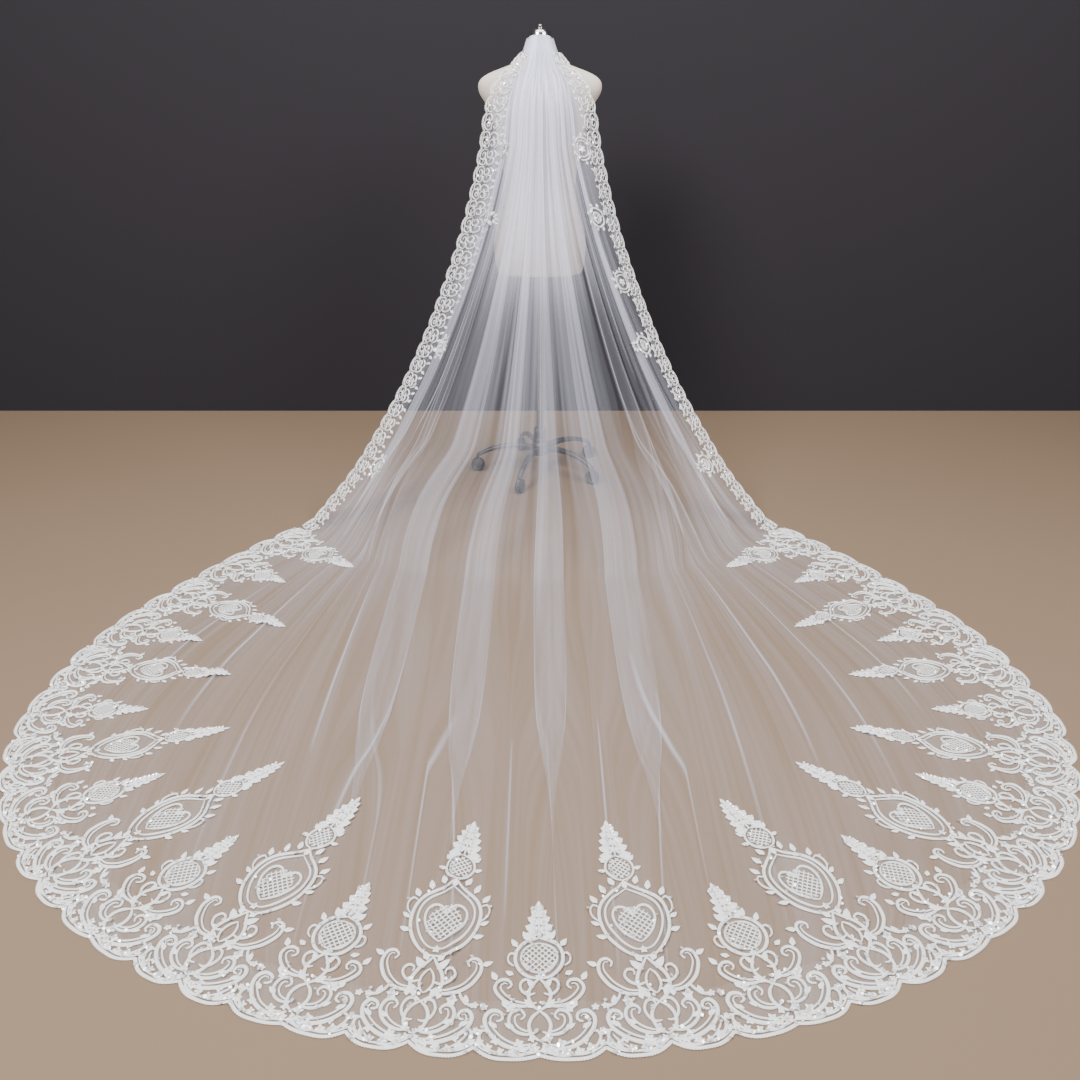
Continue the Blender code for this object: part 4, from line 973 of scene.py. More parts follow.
def drawMotif(kind, strokes, stems, leaves, tips, trellises, flowers, fills, sequins, deepGround):
    pattern = FlatPattern()
    random = np.random.RandomState(laceBorder["seed"] + len(kind))
    edge = np.linspace(-cellWidth / 2.0, cellWidth / 2.0, 61)
    fuller = laceBorder["cordFuller" if kind in ("tall", "short") else "fallCordFuller"]
    if deepGround:
        rims = ((0.0028, 0.0048, 0.0020),) if kind == "fall" else ((0.0030, 0.0062, 0.0022), (0.0112, 0.0034, 0.0016))
        for inset, wide, high in rims:
            pattern.ribbon(list(zip(edge, scallopDepth(edge, kind) + inset)), wide, high, 0.0050, 1.0)
        for number in range(44):
            place = cellWidth * ((number + 0.5) / 44 - 0.5)
            pattern.disc(place, float(scallopDepth(place, kind)) - 0.0004, 0.0016, 0.0008, 0.0, 0.0, 0)
    for side in (1.0, -1.0):
        for wide, points in strokes:
            pattern.ribbon([(side * x / 1000.0, y / 1000.0) for x, y in points],
                           wide / 1000.0 * fuller, laceBorder["cordHigh"])
            # a finer second cord runs inside the main scrolls
            if wide >= 5.0 and points[0][0] > 3:
                line, along = smoothLine(points, 9.0)
                way = np.gradient(line, axis=0)
                way /= np.linalg.norm(way, axis=1, keepdims=True)
                share = np.sin(math.pi * along / along[-1]) ** 0.5
                inner = (line + np.stack([-way[:, 1], way[:, 0]], -1) * (10.5 * share)[:, None])[1:-2]
                pattern.ribbon([(side * x / 1000.0, y / 1000.0) for x, y in inner],
                               laceBorder["innerCord"], laceBorder["cordHigh"] * 0.7)
        for x, y, angle, size, wide in leaves:
            turn = math.radians(angle) if side > 0 else math.pi - math.radians(angle)
            pattern.leaf(side * x / 1000.0, y / 1000.0, turn, size * 1.15 / 1000.0, wide * 1.35 / 1000.0, 0.0026)
        for x, y, radius in flowers:
            if x or side > 0:
                pattern.flower(side * x / 1000.0, y / 1000.0, radius / 1000.0)
    for wide, points in stems:
        pattern.ribbon([(x / 1000.0, y / 1000.0) for x, y in points], wide / 1000.0 * 1.2, laceBorder["cordHigh"])
    for x, y, angle, size, wide in tips:
        pattern.leaf(x / 1000.0, y / 1000.0, math.radians(angle), size / 1000.0, wide / 1000.0)
    # small four-petalled florets between the scrolls and the scalloped edge
    for x, y in (baseFlorets if kind in ("tall", "short") else ()):
        for side in (1.0, -1.0):
            place = side * x / 1000.0
            deep = float(scallopDepth(place, kind)) + y / 1000.0
            pattern.flower(place, deep, laceBorder["floret"] * random.uniform(0.85, 1.15), 4)
    for x, y, halfX, halfY in fills:
        pattern.oval((x / 1000.0, y / 1000.0), (halfX / 1000.0, halfY / 1000.0), 4)
    for trellis in trellises:
        middle, half = (np.array(trellis[key]) / 1000.0 for key in ("middle", "half"))
        pattern.trellis(middle, half, trellis["step"] / 1000.0)
    # beads up the leafy tip
    for x, y, _, _, _ in (leaves if kind in ("tall", "short") else ()):
        if x <= 7:
            for side in (1.0, -1.0):
                pattern.disc(side * (x + 4.0) / 1000.0, (y + 6.0) / 1000.0, 0.0026, 0.0042, side * 0.4, 0.3, 2)
    # sequins scattered beside the cords
    drawn = np.concatenate(pattern.points)
    for number in range(sequins):
        x, y, _ = drawn[random.randint(len(drawn))]
        x += random.uniform(-0.004, 0.004)
        y += random.uniform(-0.004, 0.004)
        pattern.disc(x, max(y, 0.012), laceBorder["sequinRadius"] * random.uniform(0.75, 1.2), 0.0034,
                     random.uniform(-0.45, 0.45), random.uniform(-0.45, 0.45), 2)
    if deepGround:   # the net ground under the border
        edge = edge[::2]
        wide, deep = np.meshgrid(edge, np.linspace(0.0, 1.0, 7), indexing="xy")
        start = scallopDepth(wide, kind) + 0.001
        ground = np.column_stack([wide.ravel(), (start + (deepGround - start) * deep).ravel(), np.zeros(wide.size)])
        pattern.add(ground, gridFaces(7, len(edge))[:, ::-1], ground[:, :2], 3)
    return pattern.done()


tallMotif = drawMotif("tall", tallStrokes, tallStems, tallLeaves, tallTips, tallTrellis, tallFlowers, tallFills,
                      120, laceBorder["groundDeep"])
shortMotif = drawMotif("short", shortStrokes, shortStems, shortLeaves, shortTips, shortTrellis, shortFlowers,
                       shortFills, 96, laceBorder["groundDeep"])
fallMotif = drawMotif("fall", fallStrokes, (), fallLeaves, (), (), (), (), 40, 0.072)
sprayMotif = drawMotif("spray", sprayStrokes, (), sprayLeaves, sprayTips,
                       ({"middle": (0, 121), "half": (17, 17), "step": 8.0},), (), (), 16, 0.0)
roundMotif = drawMotif("round", roundStrokes, (), roundLeaves, (), (), ((0, 105, 14),), ((0, 105, 30, 33),), 12, 0.0)
besideMotifs = {"spray": sprayMotif, "round": roundMotif}
print("motifs drawn:", [len(motif[1]) for motif in (tallMotif, shortMotif, fallMotif, sprayMotif, roundMotif)])


def restHeights(places):
    # height of the top of the net under each point of the lace
    heights = np.zeros(len(places))
    down = Vector((0.0, 0.0, -1.0))
    for number, (x, y) in enumerate(places):
        hit = netTree.ray_cast(Vector((x, y, 0.5)), down)
        if hit[0] is not None:
            heights[number] = hit[0].z
    return heights


def joinCopies(name, copies):
    points, faces, uvs, slots, count = [], [], [], [], 0
    for place, (_, face, uv, slot) in copies:
        points.append(place)
        faces.append(np.where(face >= 0, face + count, -1))
        uvs.append(uv)
        slots.append(slot)
        count += len(place)
    piece = makeMesh(name, np.concatenate(points), np.concatenate(faces), np.concatenate(uvs),
                     [laceCord, laceSatin, sequinPearl, laceGround, laceFill], np.concatenate(slots))
    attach(piece, "root")
    return piece


def layFloorLace(name, node, cells):
    copies = []
    for cell in cells:
        motif = tallMotif if cell % 2 else shortMotif
        flat = motif[0]
        # motifs are slimmer along the sides and reach less far in there and at the corners
        reach = 1.0 - laceBorder["sideShorter"] * float(smoothShare(abs(cell), 4.5, 9.0))
        reach -= laceBorder["cornerShorter"] * float(smoothShare(abs(cell), 11.0, 13.0))
        deep = flat[:, 1] - (1.0 - reach) * np.maximum(flat[:, 1] - laceBorder["baseDeep"], 0.0)
        slim = laceBorder["slimmer"] + laceBorder["sideSlimmer"] * float(smoothShare(abs(cell), 2.5, 7.0))
        across = flat[:, 0] * (1.0 - slim * smoothShare(flat[:, 1], 0.11, 0.20))
        place = floorPlace(cell, across, deep)
        high = restHeights(place) + laceBorder["lift"] + flat[:, 2]
        copies.append((np.column_stack([place, high]), motif))
    piece = joinCopies(name, copies)
    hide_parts(node)
    return piece


netTree = BVHTree.FromPolygons(netPoints.reshape(-1, 3).tolist(), gridFaces(*netPoints.shape[:2]).tolist())
lastCell = int(laceBorder["cells"] - 0.5)
endLace = layFloorLace("lace_end", "lace_train_end", range(1 - laceBorder["sideFrom"], laceBorder["sideFrom"]))
rightLace = layFloorLace("lace_right", "lace_train_right", range(laceBorder["sideFrom"], lastCell + 1))
leftLace = layFloorLace("lace_left", "lace_train_left", range(-lastCell, 1 - laceBorder["sideFrom"]))
print("lace laid on the train:", [len(piece.data.polygons) for piece in (endLace, rightLace, leftLace)], "faces")


def layFallLace(side):
    # up one hanging edge, from the floor to a little below the gathers
    grid = netPoints if side < 0.0 else netPoints[:, ::-1]
    normals = netNormals if side < 0.0 else netNormals[:, ::-1]
    columns = laceBorder["fallColumns"]
    grid, normals = grid[:, :columns], normals[:, :columns]
    inwards = np.cumsum(np.linalg.norm(np.diff(grid, axis=1), axis=-1), axis=1)
    inwards = np.concatenate([np.zeros((len(grid), 1)), inwards], axis=1)
    touch = int(np.searchsorted(rowPlaces, netSheet["touchRow"]))
    top = int(np.searchsorted(rowPlaces, 0.9))
    line = grid[top:touch + 1, 0][::-1]
    length = np.concatenate([[0.0], np.cumsum(np.linalg.norm(np.diff(line, axis=0), axis=1))])
    rowAt = np.arange(touch, top - 1, -1.0)
    count = int(round(length[-1] / cellWidth))
    stretch = length[-1] / (count * cellWidth)
    copies = []
    for cell in range(count):
        motifs = [fallMotif]
        if cell in fallBeside[side]:
            motifs.append(besideMotifs[fallBeside[side][cell]])
        for motif in motifs:
            flat, face, uv, slot = motif
            along = ((cell + 0.5) * cellWidth + flat[:, 0] * side) * stretch
            row = np.interp(along, length, rowAt)
            low = np.clip(np.floor(row).astype(int), 0, len(rowPlaces) - 2)
            fuller = np.interp(along / length[-1], np.linspace(0.0, 1.0, 5), fallReach[side])
            fuller *= 1.0 + 0.06 * np.sin(9.0 * along + 2.0 * side)
            deep = flat[:, 1] * fuller if motif is fallMotif else (
                flat[:, 1] - laceBorder["besideShift"] * (1.0 - fuller))
            deep = deep - laceBorder["fallOver"]
            columnAt = np.zeros(len(flat))
            for number in np.unique(low):
                here = low == number
                columnAt[here] = np.interp(np.maximum(deep[here], 0.0), inwards[number], np.arange(columns))
            left = np.clip(np.floor(columnAt).astype(int), 0, columns - 2)
            a, b = (row - low)[:, None], (columnAt - left)[:, None]
            place = ((grid[low, left] * (1 - b) + grid[low, left + 1] * b) * (1 - a)
                     + (grid[low + 1, left] * (1 - b) + grid[low + 1, left + 1] * b) * a)
            normal = normals[low, left] * (1 - a) + normals[low + 1, left] * a
            outward = grid[low, 0] - grid[low, 6]
            outward /= np.linalg.norm(outward, axis=1, keepdims=True)
            place += outward * np.maximum(-deep, 0.0)[:, None]
            place += normal * (laceBorder["lift"] + flat[:, 2])[:, None]
            place[:, 2] = np.maximum(place[:, 2], 0.001)
            turned = face if side > 0 else fixTriangles(face[:, [3, 2, 1, 0]])
            copies.append((place, (flat, turned, uv, slot)))
    return copies


def fixTriangles(face):
    # keep the empty corner of a triangle last after its corners are reversed
    face = face.copy()
    triangle = face[:, 0] < 0
    face[triangle] = np.roll(face[triangle], -1, axis=1)
    return face


fallPieces = []
for name, node, side in (("lace_fall_l", "lace_fall_left", -1.0), ("lace_fall_r", "lace_fall_right", 1.0)):
    piece = joinCopies(name, layFallLace(side))
    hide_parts(node)
    fallPieces.append(piece)
for piece in (net, endLace, rightLace, leftLace, *fallPieces):
    sides = np.zeros(len(piece.data.polygons), np.int32)
    piece.data.polygons.foreach_get("loop_total", sides)
    areas = np.zeros(len(sides))
    piece.data.polygons.foreach_get("area", areas)
    print(piece.name, int((sides - 2).sum()), "triangles", round(float(areas.sum()), 3), "m2")

# The dress form and its stand, under the veil.

def formCoverMaterial(look):
    material, tree, shader = newMaterial("formCover")
    place = addNode(tree, "ShaderNodeTexCoord", (-10, 0)).outputs["Object"]
    parts = addNode(tree, "ShaderNodeSeparateXYZ", (-9, 0))
    wire(tree, place, parts.inputs[0])
    # sewn seams: down the middle, beside it and round the waist
    nearest = None
    for number, seam in enumerate(look["seams"]):
        off = mathNode(tree, "ABSOLUTE", (-7, number), mathNode(tree, "SUBTRACT", (-8, number),
                       mathNode(tree, "ABSOLUTE", (-8, number + 4), parts.outputs[0]), seam))
        nearest = off if nearest is None else mathNode(tree, "MINIMUM", (-6, number), nearest, off)
    waist = mathNode(tree, "ABSOLUTE", (-7, 3), mathNode(tree, "SUBTRACT", (-8, 3), parts.outputs[2], look["waist"]))
    nearest = mathNode(tree, "MINIMUM", (-5, 3), nearest, waist)
    groove = addNode(tree, "ShaderNodeMapRange", (-4, 2), interpolation_type="SMOOTHSTEP")
    groove.inputs["From Max"].default_value = look["seamWidth"]
    wire(tree, nearest, groove.inputs["Value"])
    knit = useGroup(tree, stitchTwist, (-6, 6), Vector=place, TurnsPerMetre=look["ribs"], Slant=1.0)
    fluff = noiseNode(tree, (-6, 8), place, 700.0, 3.0, 0.7)
    soft = noiseNode(tree, (-6, 10), place, 7.0, 3.0)
    cover = colourMix(tree, (-3, 5), soft, look["colour"], look["shaded"])
    wire(tree, colourMix(tree, (-2, 4), groove.outputs[0], look["seamColour"], cover), shader.inputs["Base Color"])
    height = mathNode(tree, "MULTIPLY_ADD", (-4, 7), knit.outputs["Height"], 0.25, fluff)
    height = mathNode(tree, "MULTIPLY_ADD", (-3, 7), groove.outputs[0], 2.5, height)
    wire(tree, bumpNode(tree, (-2, 7), height, 0.4, 0.0005), shader.inputs["Normal"])
    shader.inputs["Roughness"].default_value = 0.82
    shader.inputs["Sheen Weight"].default_value = 0.3
    return material


def standMaterial(name, look):
    # painted, plated or moulded stand part with handling wear
    material, tree, shader = newMaterial(name)
    place = addNode(tree, "ShaderNodeTexCoord", (-7, 0)).outputs["Object"]
    wear = useGroup(tree, handlingWear, (-5, 0), Vector=place, Amount=look["wear"])
    dusty = colourMix(tree, (-3, 0), wear.outputs["Dust"], look["colour"], look["dust"])
    wire(tree, colourMix(tree, (-2, 0), wear.outputs["Scuffs"], dusty, look["scuffed"]), shader.inputs["Base Color"])
    wire(tree, mathNode(tree, "MULTIPLY_ADD", (-3, 2), wear.outputs["Dust"], 0.25, look["roughness"]),
         shader.inputs["Roughness"])
    wire(tree, bumpNode(tree, (-2, 3), wear.outputs["Height"], look["relief"], 0.0003), shader.inputs["Normal"])
    shader.inputs["Metallic"].default_value = look["metal"]
    return material


def startPiece():
    if bpy.context.mode != "OBJECT":
        bpy.ops.object.mode_set(mode="OBJECT")
    bpy.ops.object.select_all(action="DESELECT")


def applyModifier(piece, kind, **settings):
    modifier = piece.modifiers.new(kind.lower(), kind)
    for key, value in settings.items():
        setattr(modifier, key, value)
    bpy.context.view_layer.objects.active = piece
    bpy.ops.object.modifier_apply(modifier=modifier.name)


def finishPiece(piece, name, node, material, angle=None):
    bpy.ops.object.select_all(action="DESELECT")
    piece.select_set(True)
    bpy.context.view_layer.objects.active = piece
    bpy.ops.object.transform_apply(location=True, rotation=True, scale=True)
    bpy.ops.object.mode_set(mode="EDIT")
    bpy.ops.mesh.select_all(action="SELECT")
    bpy.ops.mesh.remove_doubles(threshold=0.00001)
    bpy.ops.mesh.normals_make_consistent(inside=False)
    bpy.ops.object.mode_set(mode="OBJECT")
    if angle:
        bpy.ops.object.shade_smooth_by_angle(angle=math.radians(angle))
    else:
        bpy.ops.object.shade_smooth()
    piece.name = name
    piece.data.name = name
    piece.data.materials.clear()
    piece.data.materials.append(material)
    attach(piece, "root")
    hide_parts(node)


def raiseRings(sides, sections):
    # a circle drawn up the form's axis through sections: height, half width, half depth, set back
    startPiece()
    first = sections[0]
    bpy.ops.mesh.primitive_circle_add(vertices=sides, radius=1.0, fill_type="NGON",
                                      location=(0.0, standY + first[3], first[0]))
    piece = bpy.context.active_object
    piece.scale = (first[1], first[2], 1.0)
    bpy.ops.object.transform_apply(location=True, rotation=True, scale=True)
    bpy.ops.object.mode_set(mode="EDIT")
    bpy.ops.mesh.select_all(action="SELECT")
    for before, after in zip(sections, sections[1:]):
        bpy.ops.mesh.extrude_region_move(
            TRANSFORM_OT_translate={"value": (0.0, after[3] - before[3], after[0] - before[0])})
        bpy.ops.transform.resize(value=(after[1] / before[1], after[2] / before[2], 1.0),
                                 center_override=(0.0, standY + after[3], after[0]))
    bpy.ops.object.mode_set(mode="OBJECT")
    return piece


dressForm = {
    "colour": (0.72, 0.635, 0.56), "shaded": (0.67, 0.575, 0.50), "seamColour": (0.50, 0.43, 0.38),
    "seams": (0.0, 0.078), "seamWidth": 0.0016, "waist": 1.034, "ribs": 700.0,
    # height, half width, depth behind, depth in front
    "sections": (
        (0.742, 0.140, 0.082, 0.082), (0.746, 0.148, 0.088, 0.088), (0.764, 0.154, 0.094, 0.094),
        (0.840, 0.165, 0.109, 0.103), (0.920, 0.150, 0.093, 0.099), (1.010, 0.122, 0.070, 0.090),
        (1.060, 0.120, 0.068, 0.092), (1.130, 0.132, 0.076, 0.108), (1.200, 0.147, 0.084, 0.126),
        (1.262, 0.158, 0.086, 0.118), (1.296, 0.178, 0.081, 0.098), (1.324, 0.200, 0.073, 0.079),
        (1.352, 0.208, 0.066, 0.068), (1.378, 0.197, 0.057, 0.059), (1.398, 0.152, 0.048, 0.052),
        (1.413, 0.104, 0.044, 0.050), (1.430, 0.066, 0.042, 0.048), (1.452, 0.052, 0.040, 0.046),
        (1.480, 0.046, 0.038, 0.045), (1.491, 0.045, 0.037, 0.044), (1.4935, 0.042, 0.034, 0.041),
    ),
}
sections = [(z, half, (back + front) / 2.0, (front - back) / 2.0) for z, half, back, front in dressForm["sections"]]
form = raiseRings(32, sections)
applyModifier(form, "SUBSURF", levels=2, render_levels=2)
finishPiece(form, "form_torso", "torso", formCoverMaterial(dressForm))
print("dress form made")

steelLook = {"colour": (0.62, 0.62, 0.64), "dust": (0.50, 0.49, 0.47), "scuffed": (0.45, 0.45, 0.46), "wear": 0.35,
             "roughness": 0.16, "relief": 0.05, "metal": 1.0}
satinLook = {"colour": (0.16, 0.16, 0.17), "dust": (0.26, 0.25, 0.24), "scuffed": (0.35, 0.35, 0.36), "wear": 0.5,
             "roughness": 0.30, "relief": 0.08, "metal": 0.85}
blackLook = {"colour": (0.018, 0.018, 0.020), "dust": (0.12, 0.11, 0.10), "scuffed": (0.10, 0.10, 0.10), "wear": 0.5,
             "roughness": 0.38, "relief": 0.15, "metal": 0.0}
rubberLook = {"colour": (0.012, 0.012, 0.013), "dust": (0.16, 0.15, 0.13), "scuffed": (0.07, 0.07, 0.07), "wear": 0.8,
              "roughness": 0.62, "relief": 0.2, "metal": 0.0}
steelPlate = standMaterial("steelPlate", steelLook)
satinSteel = standMaterial("satinSteel", satinLook)
blackPaint = standMaterial("blackPaint", blackLook)
blackPlastic = standMaterial("blackPlastic", {**blackLook, "roughness": 0.5, "relief": 0.25})
casterRubber = standMaterial("casterRubber", rubberLook)


def roundSections(pairs):
    return [(z, radius, radius, 0.0) for z, radius in pairs]


standParts = {
    # height and radius down each turned part
    "cap": ((1.4943, 0.034), (1.4946, 0.0385), (1.4975, 0.0395), (1.5010, 0.0390), (1.5015, 0.0355),
    (1.5130, 0.0345),
            (1.5180, 0.0315), (1.5220, 0.0255), (1.5245, 0.0180), (1.5256, 0.0125), (1.5270, 0.0108),
            (1.5300, 0.0116), (1.5325, 0.0118), (1.5348, 0.0098), (1.5361, 0.0062), (1.5366, 0.0030)),
    "pole": ((0.1715, 0.0118), (0.1725, 0.0130), (0.420, 0.0130), (0.421, 0.0145), (0.446, 0.0145),
    (0.447, 0.0130),
             (0.720, 0.0130), (0.721, 0.0190), (0.736, 0.0190), (0.7410, 0.0240), (0.7417, 0.0240)),
    "sleeve": ((0.1180, 0.0215), (0.1190, 0.0235), (0.130, 0.0235), (0.132, 0.0222), (0.150, 0.0222),
    (0.152, 0.0232),
               (0.164, 0.0225), (0.1700, 0.0200), (0.1712, 0.0180)),
    "hub": ((0.0640, 0.0230), (0.0655, 0.0255), (0.0700, 0.0330), (0.0720, 0.0333), (0.1060, 0.0333),
    (0.1085, 0.0325),
            (0.1140, 0.0285), (0.1177, 0.0240)),
    "legCount": 5,
    "legFirst": 180.0,
    # each leg: out, height, half width, half depth
    "leg": ((0.0336, 0.092, 0.0095, 0.0115), (0.0345, 0.092, 0.0112, 0.0132), (0.0600, 0.097, 0.0112, 0.0125),
            (0.0900, 0.100, 0.0108, 0.0112), (0.1200, 0.099, 0.0104, 0.0103), (0.1500, 0.095, 0.0102, 0.0096),
            (0.1800, 0.088, 0.0100, 0.0090), (0.2050, 0.078, 0.0098, 0.0087), (0.2280, 0.0655, 0.0095, 0.0084),
            (0.2400, 0.0585, 0.0090, 0.0080), (0.2418, 0.0575, 0.0070, 0.0062)),
    "wheelOut": 0.236, "wheelRadius": 0.0248, "wheelHalf": 0.0040, "wheelAside": 0.0068,
}
turned = (
    ("cap", "cap_finial", "neck_cap", "cap_steel", steelPlate, 48),
    ("pole", "pole_tube", "pole", "pole_steel", satinSteel, 40),
    ("sleeve", "pole_collar", "pole_sleeve", "sleeve", blackPlastic, 48),
    ("hub", "hub_body", "base_hub", "hub", blackPaint, 56),
)
for key, name, node, slotName, material, sides in turned:
    piece = raiseRings(sides, roundSections(standParts[key]))
    finishPiece(piece, name, node, material, 32.0)


def makeLeg():
    # one leg lying along +X from the axis
    startPiece()
    rows = standParts["leg"]
    bpy.ops.mesh.primitive_circle_add(vertices=20, radius=1.0, fill_type="NGON",
                                      rotation=(0.0, math.radians(90.0), 0.0),
                                      location=(rows[0][0], 0.0, rows[0][1]))
    piece = bpy.context.active_object
    bpy.ops.object.transform_apply(location=False, rotation=True, scale=False)
    piece.scale = (1.0, rows[0][2], rows[0][3])
    bpy.ops.object.transform_apply(location=True, rotation=True, scale=True)
    bpy.ops.object.mode_set(mode="EDIT")
    bpy.ops.mesh.select_all(action="SELECT")
    for before, after in zip(rows, rows[1:]):
        bpy.ops.mesh.extrude_region_move(
            TRANSFORM_OT_translate={"value": (after[0] - before[0], 0.0, after[1] - before[1])})
        bpy.ops.transform.resize(value=(1.0, after[2] / before[2], after[3] / before[3]),
                                 center_override=(after[0], 0.0, after[1]))
    bpy.ops.object.mode_set(mode="OBJECT")
    return piece


def addDrum(radius, half, aside, bevel):
    # a wheel or washer on the caster's axle, with rounded rims and a dished side
    bpy.ops.object.select_all(action="DESELECT")
    bpy.ops.mesh.primitive_cylinder_add(vertices=40, radius=radius, depth=half * 2.0,
                                        location=(standParts["wheelOut"], aside, standParts["wheelRadius"]),
                                        rotation=(math.radians(90.0), 0.0, 0.0))
    drum = bpy.context.active_object
    bpy.ops.object.transform_apply(location=True, rotation=True, scale=True)
    bpy.ops.object.mode_set(mode="EDIT")
    bpy.ops.mesh.select_all(action="DESELECT")
    bpy.ops.object.mode_set(mode="OBJECT")
    for face in drum.data.polygons:
        face.select = abs(face.normal.y) > 0.9
    bpy.ops.object.mode_set(mode="EDIT")
    bpy.ops.mesh.select_mode(type="FACE")
    bpy.ops.mesh.inset(thickness=radius * 0.28, use_individual=True)
    bpy.ops.mesh.inset(thickness=radius * 0.05, depth=-half * 0.3, use_individual=True)
    bpy.ops.object.mode_set(mode="OBJECT")
    applyModifier(drum, "BEVEL", width=bevel, segments=2, limit_method="ANGLE", angle_limit=math.radians(50.0))
    return drum


def makeCaster():
    # twin wheels on an axle under a half-round hood with its stem
    startPiece()
    parts = [addDrum(standParts["wheelRadius"], standParts["wheelHalf"], sign * standParts["wheelAside"], 0.0009)
             for sign in (1.0, -1.0)]
    parts.append(addDrum(0.0050, 0.0109, 0.0, 0.0006))
    hood = addDrum(0.0236, 0.0024, 0.0, 0.0005)
    bpy.ops.object.mode_set(mode="EDIT")
    bpy.ops.mesh.select_all(action="SELECT")
    bpy.ops.mesh.bisect(plane_co=(0.0, 0.0, standParts["wheelRadius"] - 0.004), plane_no=(0.0, 0.0, 1.0),
                        use_fill=True, clear_inner=True)
    bpy.ops.object.mode_set(mode="OBJECT")
    parts.append(hood)
    bpy.ops.object.select_all(action="DESELECT")
    bpy.ops.mesh.primitive_cylinder_add(vertices=24, radius=0.0042, depth=0.0075,
                                        location=(standParts["wheelOut"], 0.0, 0.0500))
    stem = bpy.context.active_object
    applyModifier(stem, "BEVEL", width=0.0006, segments=2, limit_method="ANGLE")
    parts.append(stem)
    bpy.ops.object.select_all(action="DESELECT")
    for part in parts:
        part.select_set(True)
    bpy.context.view_layer.objects.active = parts[0]
    bpy.ops.object.join()
    return bpy.context.active_object


legModel, casterModel = makeLeg(), makeCaster()
applyModifier(legModel, "SUBSURF", levels=1, render_levels=1)
for number in range(standParts["legCount"]):
    angle = math.radians(standParts["legFirst"]) + math.tau * number / standParts["legCount"]
    around = Matrix.Translation((0.0, standY, 0.0)) @ Matrix.Rotation(angle, 4, "Z")
    for model, name, node, slotName, material in ((legModel, "stand_leg", "leg", "legs", blackPaint),
                                                  (casterModel, "stand_caster", "caster", "casters", casterRubber)):
        piece = bpy.data.objects.new(name, model.data.copy())
        piece.data.transform(around)
        bpy.context.collection.objects.link(piece)
        finishPiece(piece, f"{name}_{number + 1}", f"{node}_{number + 1}", material, 35.0)
for model in (legModel, casterModel):
    bpy.data.meshes.remove(model.data)      # takes its object with it
print("stand made")

# plain satin band round the back of the neck, to which the net is gathered
satinBand = {"reach": math.radians(78.0), "low": 1.456, "high": 1.484, "off": 0.0014, "gathers": 34, "deep": 0.0007,
             "colour": (0.86, 0.86, 0.88)}


def buildBand():
    turns = np.linspace(-satinBand["reach"], satinBand["reach"], 241) - math.pi / 2.0
    highs = np.linspace(satinBand["low"], satinBand["high"], 9)
    table = np.array(dressForm["sections"])
    turn, high = np.meshgrid(turns, highs, indexing="xy")
    half, back = (np.interp(high, table[:, 0], table[:, column]) for column in (1, 2))
    wave = 0.5 + 0.5 * np.cos(satinBand["gathers"] * (turn + 0.15 * np.sin(7.0 * turn)))
    edge = np.sin(math.pi * (high - satinBand["low"]) / (satinBand["high"] - satinBand["low"])) ** 0.3
    off = satinBand["off"] + satinBand["deep"] * wave * edge
    grid = np.stack([(half + off) * np.cos(turn), standY + (back + off) * np.sin(turn), high], -1)
    uvs = np.stack([(turn + math.pi / 2.0) * 0.045, high], -1).reshape(-1, 2)
    return makeMesh("satin_band", grid.reshape(-1, 3), gridFaces(*grid.shape[:2])[:, ::-1], uvs, [bandSatin])


# the satin's weave stripes get painted shade from the shadow colour, as the lace cord does
bandSatin = makeCordMaterial("bandSatin", {**laceLook, "colour": satinBand["colour"], "shadow": (0.70, 0.70, 0.72),
                                           "roughness": 0.34}, 1500.0, 0.2, 0.15)
band = buildBand()
applyModifier(band, "SOLIDIFY", thickness=0.0006, offset=1.0)
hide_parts("gather_band")
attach(band, "root")
print("band made")

# Floor, wall, lights and camera.

stage = {
    "floorColour": (0.207, 0.138, 0.088),
    "wallColour": (0.017, 0.014, 0.019),
    "wallBehind": 0.72,
    "floorSize": 16.0,
}


def addPlane(name, size, place, turn, material):
    bpy.ops.object.select_all(action="DESELECT")
    bpy.ops.mesh.primitive_plane_add(size=size, location=place, rotation=turn)
    piece = bpy.context.active_object
    piece.name = name
    piece.data.materials.append(material)
    bpy.ops.object.transform_apply(location=True, rotation=True, scale=True)
    return piece


def makeFloorMaterial():
    material, tree, shader = newMaterial("studioFloor")
    place = addNode(tree, "ShaderNodeTexCoord", (-6, 0)).outputs["Object"]
    cloud = noiseNode(tree, (-4, 0), place, 1.4, 3.0)
    colour = stage["floorColour"]
    wire(tree, colourMix(tree, (-2, 0), cloud, colour, tuple(part * 0.94 for part in colour)),
         shader.inputs["Base Color"])
    fine = noiseNode(tree, (-4, 2), place, 420.0, 2.0)
    wire(tree, bumpNode(tree, (-2, 2), fine, 0.15, 0.0005), shader.inputs["Normal"])
    shader.inputs["Roughness"].default_value = 0.8
    return material


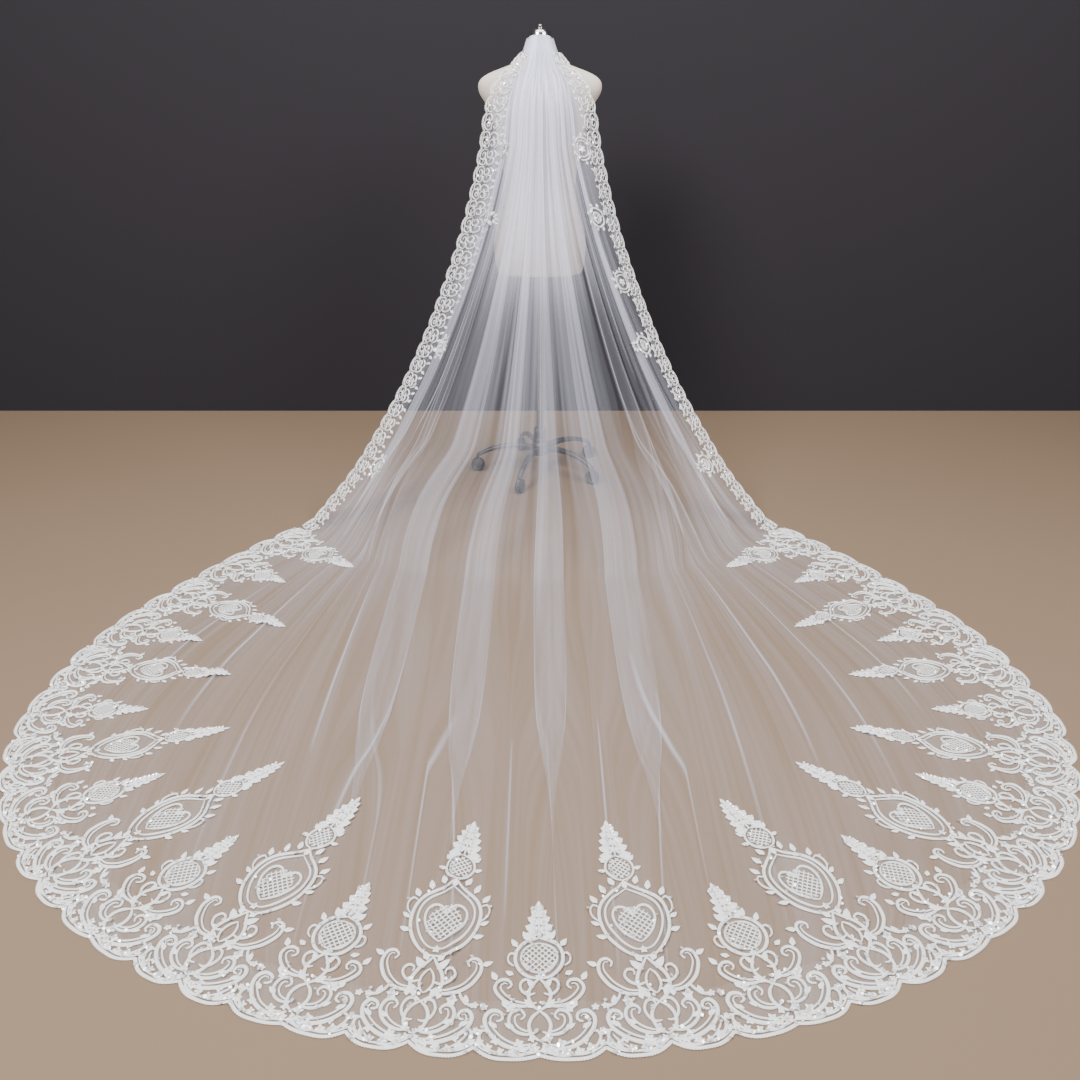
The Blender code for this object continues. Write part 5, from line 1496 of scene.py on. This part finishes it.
def makeWallMaterial():
    material, tree, shader = newMaterial("studioWall")
    shader.inputs["Base Color"].default_value = (*stage["wallColour"], 1.0)
    shader.inputs["Roughness"].default_value = 0.95
    facing = addNode(tree, "ShaderNodeNewGeometry", (-4, 0)).outputs["Backfacing"]
    wire(tree, mathNode(tree, "SUBTRACT", (-2, 0), 1.0, facing), shader.inputs["Alpha"])
    return material


addPlane("studio_floor", stage["floorSize"], (0.0, 0.0, -0.0004), (0.0, 0.0, 0.0), makeFloorMaterial())
addPlane("studio_wall", stage["floorSize"], (0.0, standY + stage["wallBehind"], stage["floorSize"] / 2.0 - 0.002),
         (math.radians(90.0), 0.0, 0.0), makeWallMaterial())

lights = (
    {"name": "key", "place": (-2.3, -2.6, 3.9), "aim": (0.0, 0.1, 0.4), "size": 1.8, "power": 335.0},
    {"name": "fill", "place": (2.8, -1.6, 3.2), "aim": (0.0, 0.1, 0.5), "size": 2.2, "power": 150.0},
    {"name": "overhead", "place": (0.0, 0.2, 4.2), "aim": (0.0, 0.2, 0.0), "size": 3.0, "power": 170.0},
    {"name": "front", "place": (0.8, 4.6, 2.8), "aim": (0.0, 1.1, 0.9), "size": 2.4, "power": 90.0},
)
for light in lights:
    data = bpy.data.lights.new(light["name"], "AREA")
    data.shape = "DISK"
    data.size = light["size"]
    data.energy = light["power"]
    lamp = bpy.data.objects.new(light["name"], data)
    lamp.location = light["place"]
    lamp.rotation_euler = (Vector(light["aim"]) - lamp.location).to_track_quat("-Z", "Y").to_euler()
    bpy.context.collection.objects.link(lamp)

world = bpy.data.worlds.new("studio")
bpy.context.scene.world = world
world.use_nodes = True
world.node_tree.nodes["Background"].inputs["Color"].default_value = (0.30, 0.29, 0.31, 1.0)
world.node_tree.nodes["Background"].inputs["Strength"].default_value = 0.35

view = {"place": (0.0, -2.6614, 1.50), "down": 25.0, "lens": 36.0}
cameraData = bpy.data.cameras.new("photo")
cameraData.lens = view["lens"]
cameraData.sensor_width = 36.0
camera = bpy.data.objects.new("photo", cameraData)
camera.location = view["place"]
camera.rotation_euler = (math.radians(90.0 - view["down"]), 0.0, 0.0)
bpy.context.collection.objects.link(camera)
bpy.context.scene.camera = camera
print("stage, lights and camera set")

print("cell", round(cellWidth, 4), "m")
